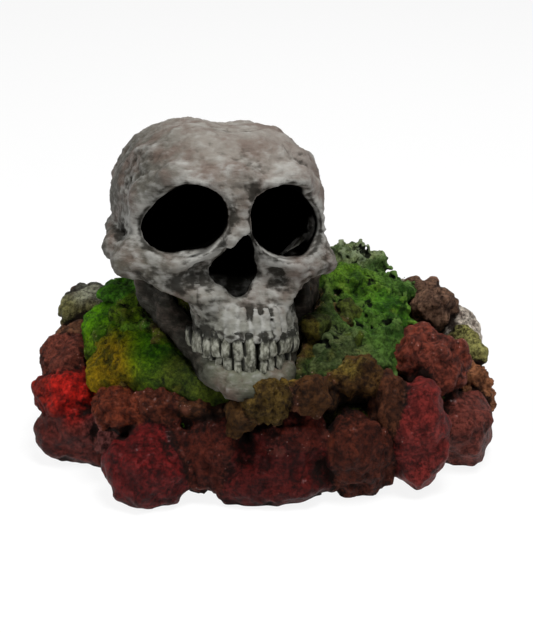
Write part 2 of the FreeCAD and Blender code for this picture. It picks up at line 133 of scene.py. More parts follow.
# ---- shapes of clay --------------------------------------------------------------------------------------
@dataclass(frozen=True)
class Ball:
    """A stretched ball."""

    centre: Spot
    half: Spot
    turn: Array | None = None

    def bounds(self) -> tuple[Array, Array]:
        """Lowest and highest corners."""
        reach = max(self.half) if self.turn is not None else np.array(self.half)
        return np.array(self.centre) - reach, np.array(self.centre) + reach

    def distance(self, x: Array, y: Array, z: Array) -> Array:
        """Signed distance to the skin, about."""
        u, v, w = local(x, y, z, self.centre, self.turn)
        a, b, c = self.half
        near = np.sqrt((u / a) ** 2 + (v / b) ** 2 + (w / c) ** 2)
        steep = np.sqrt((u / a ** 2) ** 2 + (v / b ** 2) ** 2 + (w / c ** 2) ** 2)
        return near * (near - 1) / np.maximum(steep, 1e-6)


@dataclass(frozen=True)
class Bar:
    """A round bar with round ends and its own radius at each end."""

    start: Spot
    end: Spot
    first: float
    last: float

    def bounds(self) -> tuple[Array, Array]:
        """Lowest and highest corners."""
        reach = max(self.first, self.last)
        ends = np.array([self.start, self.end])
        return ends.min(0) - reach, ends.max(0) + reach

    def distance(self, x: Array, y: Array, z: Array) -> Array:
        """Signed distance to the skin, about."""
        a, way = np.array(self.start), np.array(self.end) - self.start
        u, v, w = x - a[0], y - a[1], z - a[2]
        t = np.clip((u * way[0] + v * way[1] + w * way[2]) / (way @ way), 0, 1)
        gap = np.sqrt((u - t * way[0]) ** 2 + (v - t * way[1]) ** 2 + (w - t * way[2]) ** 2)
        return gap - (self.first + t * (self.last - self.first))


@dataclass(frozen=True)
class Tunnel:
    """A straight passage along Y with a rounded-square mouth."""

    centre: Spot
    half: Spot
    tilt: float = 0.0
    power: float = 2.6

    def bounds(self) -> tuple[Array, Array]:
        """Lowest and highest corners."""
        reach = np.array([max(self.half[0], self.half[2]) * 1.2, self.half[1], max(self.half[0], self.half[2]) * 1.2])
        return np.array(self.centre) - reach, np.array(self.centre) + reach

    def distance(self, x: Array, y: Array, z: Array) -> Array:
        """Signed distance to the wall, about."""
        c, s = math.cos(math.radians(self.tilt)), math.sin(math.radians(self.tilt))
        u, w = x - self.centre[0], z - self.centre[2]
        u, w = u * c + w * s, w * c - u * s
        a, b, p = self.half[0], self.half[2], self.power
        mouth = ((np.abs(u) / a) ** p + (np.abs(w) / b) ** p) ** (1 / p)
        return np.maximum((mouth - 1) * min(a, b), np.abs(y - self.centre[1]) - self.half[1])


@dataclass(frozen=True)
class Trunk:
    """A body of level rounded-oblong sections.

    rows holds (height, middle x, middle y, half width, half depth), from the bottom up.
    """

    rows: tuple[tuple[float, float, float, float, float], ...]
    power: float = 2.0
    grow: float = 0.0

    def bounds(self) -> tuple[Array, Array]:
        """Lowest and highest corners."""
        r = np.array(self.rows)
        low = [(r[:, 1] - r[:, 3]).min(), (r[:, 2] - r[:, 4]).min(), r[0, 0]]
        high = [(r[:, 1] + r[:, 3]).max(), (r[:, 2] + r[:, 4]).max(), r[-1, 0]]
        return np.array(low) - self.grow, np.array(high) + self.grow

    def distance(self, x: Array, y: Array, z: Array) -> Array:
        """Signed distance to the skin, about."""
        r = np.array(self.rows)
        cx, cy, a, b = (np.interp(z, r[:, 0], r[:, i]) for i in (1, 2, 3, 4))
        a, b = a + self.grow, b + self.grow
        p = self.power
        side = ((np.abs(x - cx) / a) ** p + (np.abs(y - cy) / b) ** p) ** (1 / p)
        ends = np.maximum(r[0, 0] - self.grow - z, z - r[-1, 0] - self.grow)
        return np.maximum((side - 1) * np.minimum(a, b), ends)


def local(x: Array, y: Array, z: Array, centre: Spot, turn: Array | None) -> tuple[Array, Array, Array]:
    """Coordinates measured from a centre, along a turned shape's own directions."""
    u, v, w = x - centre[0], y - centre[1], z - centre[2]
    if turn is None:
        return u, v, w
    t = np.asarray(turn)
    return (
        u * t[0, 0] + v * t[1, 0] + w * t[2, 0],
        u * t[0, 1] + v * t[1, 1] + w * t[2, 1],
        u * t[0, 2] + v * t[1, 2] + w * t[2, 2],
    )


class Clay:
    """A block of sculpting space that holds the signed distance to the clay's skin, negative inside."""

    MARGIN = 8.0

    def __init__(self, low: Spot, high: Spot, step: float) -> None:
        """Makes an empty block between two corners, with cells of one step."""
        self.step = step
        self.low = np.array(low, float)
        count = np.ceil((np.array(high) - self.low) / step).astype(int) + 1
        self.axes = [self.low[i] + step * np.arange(count[i]) for i in range(3)]
        self.value = np.full(count, 1e2, np.float32)

    def window(self, low: Array, high: Array, margin: float) -> tuple[tuple[slice, ...], list[Array]]:
        """The part of the block near a shape.

        Args:
            low: Lowest corner of the shape.
            high: Its highest corner.
            margin: How far past the shape the window reaches.

        Returns:
            The slices of the block, and the three coordinates ready to broadcast.
        """
        cut, axes = [], []
        for i in range(3):
            first = max(int((low[i] - margin - self.low[i]) / self.step), 0)
            last = max(int((high[i] + margin - self.low[i]) / self.step) + 2, first + 1)
            cut.append(slice(first, last))
            shape = [1, 1, 1]
            shape[i] = -1
            axes.append(self.axes[i][first:last].reshape(shape))
        return tuple(cut), axes

    def join(self, shape, soft: float = 0.0) -> None:
        """Adds a shape, flowing into the clay over the length soft."""
        cut, axes = self.window(*shape.bounds(), self.MARGIN)
        old, new = self.value[cut], shape.distance(*axes).astype(np.float32)
        blend = np.maximum(soft - np.abs(old - new), 0) if soft else 0.0
        self.value[cut] = np.minimum(old, new) - (blend * blend / (4 * soft) if soft else 0.0)

    def carve(self, shape, soft: float = 0.0) -> None:
        """Takes a shape away, with its edge rounded over the length soft."""
        cut, axes = self.window(*shape.bounds(), self.MARGIN)
        old, new = self.value[cut], -shape.distance(*axes).astype(np.float32)
        blend = np.maximum(soft - np.abs(old - new), 0) if soft else 0.0
        self.value[cut] = np.maximum(old, new) + (blend * blend / (4 * soft) if soft else 0.0)

    def roughen(self, grain: "Grain", size: float | Spot, amount: float, count: int = 2) -> None:
        """Eats into and builds up the clay's skin.

        Args:
            grain: The noise that says where.
            size: Width of the largest lumps.
            amount: Their height.
            count: Layers of noise.
        """
        near = np.argwhere(np.abs(self.value) < amount * 1.8 + self.step)
        spots = self.low + self.step * near
        self.value[tuple(near.T)] -= (amount * grain.layers(spots, size, count)).astype(np.float32)

    def sample(self, points: Array) -> Array:
        """Reads the distance at places inside or outside the block."""
        top = np.array(self.value.shape) - 1.001
        where = np.clip((points - self.low) / self.step, 0, top)
        cell = where.astype(int)
        part = where - cell
        total = np.zeros(len(points))
        for i in (0, 1):
            for j in (0, 1):
                for k in (0, 1):
                    weight = np.prod(np.where((i, j, k), part, 1 - part), axis=1)
                    total += weight * self.value[cell[:, 0] + i, cell[:, 1] + j, cell[:, 2] + k]
        return total

    def skin(self) -> "Skin":
        """The clay's surface as a closed net of quads."""
        inside = self.value < 0
        corners = [(i, j, k) for i in (0, 1) for j in (0, 1) for k in (0, 1)]
        size = np.array(inside.shape) - 1
        count = sum(inside[i:i + size[0], j:j + size[1], k:k + size[2]].astype(np.uint8) for i, j, k in corners)
        active = (count > 0) & (count < 8)
        cells = np.argwhere(active)
        index = np.full(active.shape, -1, np.int64)
        index[active] = np.arange(len(cells))
        total, hits = np.zeros((len(cells), 3)), np.zeros(len(cells))
        for corner in corners:
            here = self.value[tuple((cells + corner).T)]
            for axis in range(3):
                if corner[axis]:
                    continue
                way = np.eye(3, dtype=int)[axis]
                there = self.value[tuple((cells + corner + way).T)]
                cross = (here < 0) != (there < 0)
                share = here[cross] / (here[cross] - there[cross])
                total[cross] += np.array(corner) + share[:, None] * way
                hits[cross] += 1
        points = self.low + self.step * (cells + total / hits[:, None])
        return Skin(points, np.concatenate([self._quads(inside, index, axis) for axis in range(3)]))

    @staticmethod
    def _quads(inside: Array, index: Array, axis: int) -> Array:
        """The quads that cross the grid's edges along one axis."""
        u, w = (axis + 1) % 3, (axis + 2) % 3
        near = [slice(1, -1)] * 3
        far = list(near)
        near[axis], far[axis] = slice(0, -1), slice(1, None)
        first, second = inside[tuple(near)], inside[tuple(far)]
        cross = first != second
        edge = np.argwhere(cross)
        edge[:, u] += 1
        edge[:, w] += 1
        ring = []
        for du, dw in ((1, 1), (0, 1), (0, 0), (1, 0)):
            cell = edge.copy()
            cell[:, u] -= du
            cell[:, w] -= dw
            ring.append(index[tuple(cell.T)])
        quads = np.stack(ring, axis=1)
        outward = first[cross]
        quads[~outward] = quads[~outward][:, ::-1]
        return quads


@dataclass
class Skin:
    """A surface of quads, in millimetres."""

    points: Array
    quads: Array

    def normals(self) -> Array:
        """Outward directions at the points."""
        a, b, c, d = (self.points[self.quads[:, i]] for i in range(4))
        face = np.cross(c - a, d - b)
        total = np.zeros_like(self.points)
        for i in range(4):
            for axis in range(3):
                total[:, axis] += np.bincount(self.quads[:, i], face[:, axis], len(self.points))
        return total / np.maximum(np.linalg.norm(total, axis=1), 1e-9)[:, None]

    def relax(self, times: int = 1, strength: float = 0.5) -> None:
        """Evens the surface out."""
        for _ in range(times):
            total, hits = np.zeros_like(self.points), np.zeros(len(self.points))
            for i in range(4):
                for other in (self.quads[:, (i + 1) % 4], self.quads[:, (i - 1) % 4]):
                    for axis in range(3):
                        total[:, axis] += np.bincount(self.quads[:, i], self.points[other, axis], len(self.points))
                    hits += np.bincount(self.quads[:, i], minlength=len(self.points))
            self.points += strength * (total / hits[:, None] - self.points)

    def push(self, amount: Array) -> None:
        """Moves each point outwards by its amount."""
        self.points += self.normals() * amount[:, None]

    def place(self, turn: Array, at: Array) -> None:
        """Turns the surface, then moves it."""
        self.points = self.points @ np.asarray(turn).T + at


def piece(name: str, skin: Skin, finish: bpy.types.Material, marks: dict[str, Array]) -> bpy.types.Object:
    """Makes a mesh object of a surface.

    Args:
        name: The piece's name.
        skin: Its surface in millimetres.
        finish: Its material.
        marks: Values at the points, by name: one number or one colour each.

    Returns:
        The new object, at the origin.
    """
    mesh = bpy.data.meshes.new(name)
    mesh.vertices.add(len(skin.points))
    mesh.vertices.foreach_set("co", (skin.points * MM).astype(np.float32).ravel())
    mesh.loops.add(skin.quads.size)
    mesh.loops.foreach_set("vertex_index", skin.quads.astype(np.int32).ravel())
    mesh.polygons.add(len(skin.quads))
    mesh.polygons.foreach_set("loop_start", np.arange(0, skin.quads.size, 4, dtype=np.int32))
    mesh.update(calc_edges=True)
    mesh.validate()
    mesh.shade_smooth()
    mesh.materials.append(finish)
    obj = bpy.data.objects.new(name, mesh)
    bpy.context.scene.collection.objects.link(obj)
    mark(obj, marks)
    return obj


def mark(obj: bpy.types.Object, marks: dict[str, Array]) -> None:
    """Stores values on a piece's points for its material to read."""
    for name, values in marks.items():
        values = np.asarray(values, np.float32)
        if values.ndim == 1:
            obj.data.attributes.new(name, "FLOAT", "POINT").data.foreach_set("value", values)
            continue
        full = np.ones((len(values), 4), np.float32)
        full[:, :3] = values
        obj.data.attributes.new(name, "FLOAT_COLOR", "POINT").data.foreach_set("color", full.ravel())


def rises(clay: Clay, points: Array, normals: Array, reaches: tuple[float, ...] = (1.5, 3.0, 5.0)) -> Array:
    """How much each place stands out, from 0 on the flat to 1 on a sharp ridge."""
    total = np.zeros(len(points))
    for reach in reaches:
        total += np.clip(1 + clay.sample(points - normals * reach) / reach, 0, 1)
    return total / len(reaches)


def hollows(clay: Clay, points: Array, normals: Array, reaches: tuple[float, ...] = (1.5, 3.0, 6.0, 10.0)) -> Array:
    """How deep each place sits among its neighbours, from 0 in the open to 1 in a crevice."""
    total = np.zeros(len(points))
    for reach in reaches:
        total += np.clip(1 - clay.sample(points + normals * reach) / reach, 0, 1)
    return total / len(reaches)


# ---- finishes --------------------------------------------------------------------------------------------
class Wire:
    """A node's socket that adds and multiplies like a number."""

    def __init__(self, sheet: "Sheet", socket: bpy.types.NodeSocket) -> None:
        """Wraps one output socket of a sheet."""
        self.sheet, self.socket = sheet, socket

    def _math(self, operation: str, first: "Wire | float", second: "Wire | float") -> "Wire":
        """Adds one Math node."""
        return self.sheet.node("ShaderNodeMath", {"operation": operation}, {0: first, 1: second})

    def __add__(self, other: "Wire | float") -> "Wire":
        """This plus another."""
        return self._math("ADD", self, other)

    def __sub__(self, other: "Wire | float") -> "Wire":
        """This less another."""
        return self._math("SUBTRACT", self, other)

    def __rsub__(self, other: float) -> "Wire":
        """A number less this."""
        return self._math("SUBTRACT", other, self)

    def __mul__(self, other: "Wire | float") -> "Wire":
        """This times another."""
        return self._math("MULTIPLY", self, other)

    __radd__, __rmul__ = __add__, __mul__

    def step(self, low: float, high: float) -> "Wire":
        """Eases from 0 at low to 1 at high."""
        settings = {"interpolation_type": "SMOOTHSTEP"}
        return self.sheet.node("ShaderNodeMapRange", settings, {0: self, 1: low, 2: high})


class Sheet:
    """The nodes of one material."""

    def __init__(self, name: str) -> None:
        """Starts an empty material with a shader."""
        self.material = bpy.data.materials.new(name)
        self.material.use_nodes = True
        self.tree = self.material.node_tree
        self.tree.nodes.clear()
        self.where = self.node("ShaderNodeTexCoord", out="Object")

    def node(self, kind: str, settings: dict | None = None, inputs: dict | None = None, out: int | str = 0) -> Wire:
        """Adds any node.

        Args:
            kind: The node's type.
            settings: Its settings, which are set first.
            inputs: Values or wires for its sockets, by name or place.
            out: The output to hand back.

        Returns:
            That output.
        """
        node = self.tree.nodes.new(kind)
        for key, value in (settings or {}).items():
            setattr(node, key, value)
        for key, value in (inputs or {}).items():
            if isinstance(value, Wire):
                self.tree.links.new(value.socket, node.inputs[key])
            else:
                node.inputs[key].default_value = value
        return Wire(self, node.outputs[out]) if len(node.outputs) else Wire(self, None)

    def at(self, size: float | Spot, shift: float = 0.0) -> Wire:
        """Object coordinates scaled so that one unit is size, in millimetres."""
        width = (size,) * 3 if isinstance(size, (int, float)) else size
        scale = tuple(1 / (w * MM) for w in width)
        return self.node("ShaderNodeMapping", {}, {"Vector": self.where, "Scale": scale, "Location": (shift,) * 3})

    def noise(self, size: float | Spot, detail: float = 3.0, rough: float = 0.55, shift: float = 0.0) -> Wire:
        """Smooth noise, 0 to 1, with lumps of a size in millimetres."""
        inputs = {"Vector": self.at(size, shift), "Scale": 1.0, "Detail": detail, "Roughness": rough}
        return self.node("ShaderNodeTexNoise", {}, inputs, "Fac")

    def cells(self, size: float | Spot, feature: str = "F1") -> Wire:
        """Distance to the nearest of scattered points, a size in millimetres apart."""
        inputs = {"Vector": self.at(size), "Scale": 1.0}
        return self.node("ShaderNodeTexVoronoi", {"feature": feature}, inputs, "Distance")

    def mark(self, name: str, out: str = "Fac") -> Wire:
        """A value that the piece's points carry."""
        return self.node("ShaderNodeAttribute", {"attribute_name": name}, {}, out)

    def mix(self, share: Wire | float, first: Wire | Spot, second: Wire | Spot, way: str = "MIX") -> Wire:
        """Blends two colours."""
        pair = [c if isinstance(c, Wire) else (*c, 1.0) for c in (first, second)]
        settings = {"data_type": "RGBA", "blend_type": way, "clamp_factor": True}
        return self.node("ShaderNodeMix", settings, {0: share, 6: pair[0], 7: pair[1]}, 2)

    def bump(self, height: Wire, depth: float) -> Wire:
        """Turns a height of 0 to 1 into relief of a depth in millimetres."""
        return self.node("ShaderNodeBump", {}, {"Height": height, "Distance": depth * MM, "Strength": 1.0}, "Normal")

    def close(self, sockets: dict, black: Wire | None = None) -> bpy.types.Material:
        """Adds the shader with its sockets and hands the material back.

        Args:
            sockets: Values or wires for the shader.
            black: How far each place turns into matt black, the painted shade of unlit insides, if anywhere.

        Returns:
            The finished material.
        """
        shader = self.node("ShaderNodeBsdfPrincipled", {}, sockets, "BSDF")
        # Painted shade: mixes towards a near-black matt diffuse where no light reaches.
        if black:
            matt = self.node("ShaderNodeBsdfDiffuse", {}, {"Color": (0.0005, 0.0005, 0.0004, 1.0)})
            shader = self.node("ShaderNodeMixShader", {}, {0: black, 1: shader, 2: matt})
        self.node("ShaderNodeOutputMaterial", {}, {"Surface": shader})
        return self.material


@dataclass(frozen=True)
class BoneFinish:
    """Grey cast resin, dry-brushed pale, with grime and painted shade darkening its hollows and painted shade turning
    its insides matt black.
    """

    pale: Spot = paint(152, 152, 147)
    mauve: Spot = paint(90, 74, 65)
    grime_and_shade_colour: Spot = paint(26, 23, 15)

    def make(self, name: str) -> bpy.types.Material:
        """Builds the material."""
        s = Sheet(name)
        streak = s.noise((5.0, 5.0, 0.5), 5, 0.72)
        blotch = s.noise(13, 4, 0.6, 3.0)
        pits = s.noise(1.5, 3, 0.6, 7.0)
        worms = s.noise((2.6, 2.6, 1.7), 2, 0.5, 11.0)
        fine, grit = s.noise(0.5, 2, 0.6, 5.0), s.noise((1.5, 1.5, 0.6), 4, 0.75, 17.0)
        rise, hollow, deep = s.mark("rise"), s.mark("hollow"), s.mark("deep")
        tone = s.mix((blotch * 0.9 + streak * 0.15).step(0.46, 0.68) * 0.8, s.mark("paint", "Color"), self.mauve)
        brushed = (streak * 0.65 + grit * 0.2 + rise * 1.2 - blotch * 0.25).step(0.22, 1.2)
        tone = s.mix(brushed * 0.8, tone, self.pale)
        # Painted shade with some grime: the hollow mark darkens creases and hollows towards near-black brown, and the
        # pits and streak noise add random grime.
        grime_and_shade = (hollow * 1.7 + (0.5 - pits) * 0.5 + (0.5 - streak) * 0.5 - rise * 0.4).step(0.18, 0.95)
        tone = s.mix(grime_and_shade * 0.92, tone, self.grime_and_shade_colour)
        height = pits * 0.5 + worms * 0.3 * (1 - brushed * 0.5) + fine * 0.2 + grit * 0.4
        rough = 0.5 + pits * 0.25 + grime_and_shade * 0.12
        # Painted shade: the deep mark turns the insides of the sockets, nose and skull matt black.
        return s.close({
            "Base Color": tone, "Roughness": rough, "Normal": s.bump(height, 0.75), "Specular IOR Level": 0.25,
        }, deep.step(0.1, 0.8))


@dataclass(frozen=True)
class ToothFinish:
    """Teeth: ivory grey, with worn pale edges, and grime and painted shade darkening their necks and sides."""

    body: Spot = paint(84, 84, 71)
    pale: Spot = paint(150, 150, 138)
    dark: Spot = paint(16, 16, 8)

    def make(self, name: str) -> bpy.types.Material:
        """Builds the material."""
        s = Sheet(name)
        mottle, fine = s.noise((1.6, 1.6, 2.6), 3, 0.6), s.noise(0.6, 2, 0.6, 4.0)
        tone = s.mix(mottle.step(0.35, 0.7), self.body, self.pale)
        grime = s.noise(3.4, 3, 0.6, 9.0)
        # Painted shade with grime: the crowns' hollow mark darkens necks, sides and backs towards near-black, and the
        # mottle and grime noise add random dirt.
        tone = s.mix((s.mark("hollow") * 1.25 + (0.5 - mottle) + (0.6 - grime) * 1.9).step(0.12, 0.85) * 0.97, tone,
                     self.dark)
        return s.close({
            "Base Color": tone, "Roughness": 0.42 + fine * 0.25, "Normal": s.bump(mottle * 0.5 + fine * 0.3, 0.35),
            "Specular IOR Level": 0.25,
        })


@dataclass(frozen=True)
class RockFinish:
    """Painted boulders: a base coat per stone, dry-brushed ridges, painted shade and grime turning cracks near-black,
    painted glints on raised grain and a broken gloss.
    """

    crack_shade: Spot = paint(17, 7, 4)
    ridge: Spot = paint(134, 78, 64)
    painted_glint: Spot = paint(214, 176, 166)

    def make(self, name: str) -> bpy.types.Material:
        """Builds the material."""
        s = Sheet(name)
        patchy, grain = s.noise(6.5, 5, 0.62), s.noise(2.0, 6, 0.8, 5.0)
        fine, specks = s.noise(0.45, 3, 0.7, 9.0), s.cells(1.7)
        rise, hollow, gloss = s.mark("rise"), s.mark("hollow"), s.mark("gloss")
        base = s.mark("paint", "Color")
        shade = s.mix(patchy.step(0.3, 0.62), (0.46, 0.38, 0.36), (1.34, 1.26, 1.24))
        tone = s.mix(1.0, base, shade, "MULTIPLY")
        tone = s.mix(1.0, tone, s.mix(grain.step(0.38, 0.62), (0.36, 0.3, 0.29), (1.7, 1.5, 1.46)), "MULTIPLY")
        tone = s.mix((rise * 1.2 + grain * 0.8 + patchy * 0.4).step(0.95, 1.55) * 0.3, tone, self.ridge)
        # Painted glints: pale specks on raised grain, standing in for the lamps' glints.
        tone = s.mix((0.23 - specks).step(0.0, 0.2) * (grain + rise * 0.5).step(0.6, 0.8) * 0.6, tone, self.painted_glint)
        # Painted shade with grime: the hollow mark darkens crevices and the random grain adds dirt, towards near-black.
        dirt_and_shade = (hollow * 1.3 + (0.5 - grain) * 1.9 + (0.5 - patchy) * 0.3 - rise * 0.3).step(0.16, 0.95)
        tone = s.mix(dirt_and_shade * 0.95, tone, self.crack_shade)
        height = patchy * 0.6 + grain * 0.9 + fine * 0.3
        return s.close({
            "Base Color": tone, "Roughness": (0.78 - gloss * 0.3 + (grain - 0.5) * 0.4 + dirt_and_shade * 0.15).step(0.0, 1.0),
            "Coat Weight": gloss * grain.step(0.5, 0.66) * 0.22, "Coat Roughness": 0.25,
            "Normal": s.bump(height, 1.4), "Specular IOR Level": 0.12,
        })


@dataclass(frozen=True)
class MossFinish:
    """Sponged green: caves darkened by painted shade and grime, mid green and lighter tips."""

    cave_shade: Spot = paint(7, 12, 2)
    ochre: Spot = paint(132, 118, 34)

    def make(self, name: str) -> bpy.types.Material:
        """Builds the material."""
        s = Sheet(name)
        clumps, sponge = s.noise(6.5, 5, 0.66), s.noise(1.2, 5, 0.75, 3.0)
        fine = s.noise(0.5, 2, 0.65, 8.0)
        rise, hollow = s.mark("rise"), s.mark("hollow")
        shade = s.mix(clumps.step(0.34, 0.66), (0.32, 0.42, 0.22), (1.55, 1.4, 1.3))
        tone = s.mix(1.0, s.mark("paint", "Color"), shade, "MULTIPLY")
        tone = s.mix(1.0, tone, s.mix(sponge.step(0.36, 0.66), (0.5, 0.5, 0.4), (1.5, 1.5, 1.4)), "MULTIPLY")
        tone = s.mix((rise + sponge * 0.9).step(0.75, 1.25) * 0.5, tone, s.mark("tip", "Color"))
        tone = s.mix((s.noise(9, 3, 0.5, 21.0) + sponge * 0.3).step(0.78, 0.95) * 0.2, tone, self.ochre)
        # Painted shade with grime: the hollow mark darkens the sponge's caves and the sponge noise adds random dark.
        dirt_and_shade = (hollow * 1.5 + (0.5 - sponge) * 1.5 - rise * 0.25).step(0.25, 0.95)
        tone = s.mix(dirt_and_shade * 0.96, tone, self.cave_shade)
        height = sponge * 1.0 + fine * 0.3 + clumps * 0.4
        return s.close({
            "Base Color": tone, "Roughness": 0.72 + fine * 0.2, "Normal": s.bump(height, 1.4),
            "Specular IOR Level": 0.15,
        })


@dataclass(frozen=True)
class PlainFinish:
    """One moulded, cast or turned material with fine grain and soft mottling."""

    light: Spot
    shadow: Spot
    rough: float = 0.5
    metal: float = 0.0
    grain: float = 0.8
    relief: float = 0.06
    lines: Spot | None = None

    def make(self, name: str) -> bpy.types.Material:
        """Builds the material."""
        s = Sheet(name)
        cloud = s.noise(7, 4, 0.6)
        grain = s.noise(self.lines or self.grain, 3, 0.6, 4.0)
        tone = s.mix((cloud * 0.6 + grain * 0.5).step(0.35, 0.75), self.shadow, self.light)
        return s.close({
            "Base Color": tone, "Roughness": self.rough + (grain - 0.5) * 0.3, "Metallic": self.metal,
            "Normal": s.bump(grain, self.relief),
        })


# ---- repeated things -------------------------------------------------------------------------------------
class Recipe:
    """A Geometry Nodes tree with named inputs."""

    def __init__(self, name: str) -> None:
        """Starts a tree that takes and gives geometry."""
        self.tree = bpy.data.node_groups.new(name, "GeometryNodeTree")
        self.names: dict[str, str] = {}
        self.tree.interface.new_socket("Geometry", in_out="INPUT", socket_type="NodeSocketGeometry")
        self.tree.interface.new_socket("Geometry", in_out="OUTPUT", socket_type="NodeSocketGeometry")
        self.start = self.tree.nodes.new("NodeGroupInput")
        self.end = self.tree.nodes.new("NodeGroupOutput")

    def want(self, name: str, kind: str) -> bpy.types.NodeSocket:
        """Adds a named input and hands back its socket inside the tree."""
        item = self.tree.interface.new_socket(name, in_out="INPUT", socket_type="NodeSocket" + kind)
        self.names[name] = item.identifier
        return self.start.outputs[name]

    def node(self, kind: str, settings: dict, inputs: dict, out: int | str = 0) -> bpy.types.NodeSocket:
        """Adds any node and hands back one of its outputs."""
        node = self.tree.nodes.new(kind)
        for key, value in settings.items():
            setattr(node, key, value)
        for key, value in inputs.items():
            if isinstance(value, bpy.types.NodeSocket):
                self.tree.links.new(value, node.inputs[key])
            else:
                node.inputs[key].default_value = value
        return node.outputs[out]

    def serve(self, shape: bpy.types.NodeSocket) -> None:
        """Makes the instances real, gives them the finish and ends the tree."""
        solid = self.node("GeometryNodeRealizeInstances", {}, {"Geometry": shape})
        done = self.node("GeometryNodeSetMaterial", {},
                         {"Geometry": solid, "Material": self.want("Finish", "Material")})
        self.tree.links.new(done, self.end.inputs[0])

    def run(self, carrier: bpy.types.Object, name: str, values: dict) -> bpy.types.Object:
        """Runs the tree on an object.

        Args:
            carrier: The object whose mesh the tree starts from.
            name: Name of the new piece.
            values: Values of the named inputs.

        Returns:
            A plain mesh object with the result.
        """
        modifier = carrier.modifiers.new(name, "NODES")
        modifier.node_group = self.tree
        for key, value in values.items():
            modifier[self.names[key]] = value
        seen = carrier.evaluated_get(bpy.context.evaluated_depsgraph_get())
        mesh = bpy.data.meshes.new_from_object(seen)
        carrier.modifiers.remove(modifier)
        mesh.name = name
        obj = bpy.data.objects.new(name, mesh)
        bpy.context.scene.collection.objects.link(obj)
        return obj


def row_recipe() -> Recipe:
    """Sets copies of a block in a row along a line, each a little different."""
    r = Recipe("row_of_teeth")
    block, count, seed = r.want("Block", "Object"), r.want("Count", "Int"), r.want("Seed", "Int")
    uneven, slip = r.want("Unevenness", "Float"), r.want("Slip", "Float")
    line = r.node("GeometryNodeMeshToCurve", {}, {"Mesh": r.start.outputs[0]})
    points = r.node("GeometryNodeCurveToPoints", {"mode": "COUNT"}, {"Curve": line, "Count": count}, "Points")
    tangent = r.tree.nodes[-1].outputs["Tangent"]
    shove = r.node("FunctionNodeRandomValue", {"data_type": "FLOAT_VECTOR"},
                   {0: (-1.0, -1.0, -1.0), 1: (1.0, 1.0, 1.0), "Seed": count})
    shove = r.node("ShaderNodeVectorMath", {"operation": "SCALE"}, {0: shove, "Scale": slip})
    facing = r.node("FunctionNodeAlignRotationToVector", {"axis": "X", "pivot_axis": "Z"}, {"Vector": tangent})
    wobble = r.node("FunctionNodeRandomValue", {"data_type": "FLOAT_VECTOR"},
                    {0: (-1.0, -1.0, -1.0), 1: (1.0, 1.0, 1.0), "Seed": seed})
    lean = r.node("ShaderNodeVectorMath", {"operation": "SCALE"}, {0: wobble, "Scale": uneven})
    turn = r.node("FunctionNodeEulerToRotation", {}, {0: lean})
    facing = r.node("FunctionNodeRotateRotation", {"rotation_space": "LOCAL"}, {0: facing, 1: turn})
    size = r.node("ShaderNodeVectorMath", {"operation": "ADD"}, {0: lean, 1: (1.0, 1.0, 1.0)})
    shape = r.node("GeometryNodeObjectInfo", {}, {"Object": block, "As Instance": True}, "Geometry")
    points = r.node("GeometryNodeSetPosition", {}, {"Geometry": points, "Offset": shove})
    r.serve(r.node("GeometryNodeInstanceOnPoints", {},
                   {"Points": points, "Instance": shape, "Rotation": facing, "Scale": size}))
    return r


def mould(name: str, points: Array, quads: Array) -> bpy.types.Object:
    """A helper object to copy from, not linked to the scene."""
    mesh = bpy.data.meshes.new(name)
    mesh.from_pydata((np.asarray(points) * MM).tolist(), [], [list(q) for q in quads])
    mesh.shade_smooth()
    return bpy.data.objects.new(name, mesh)


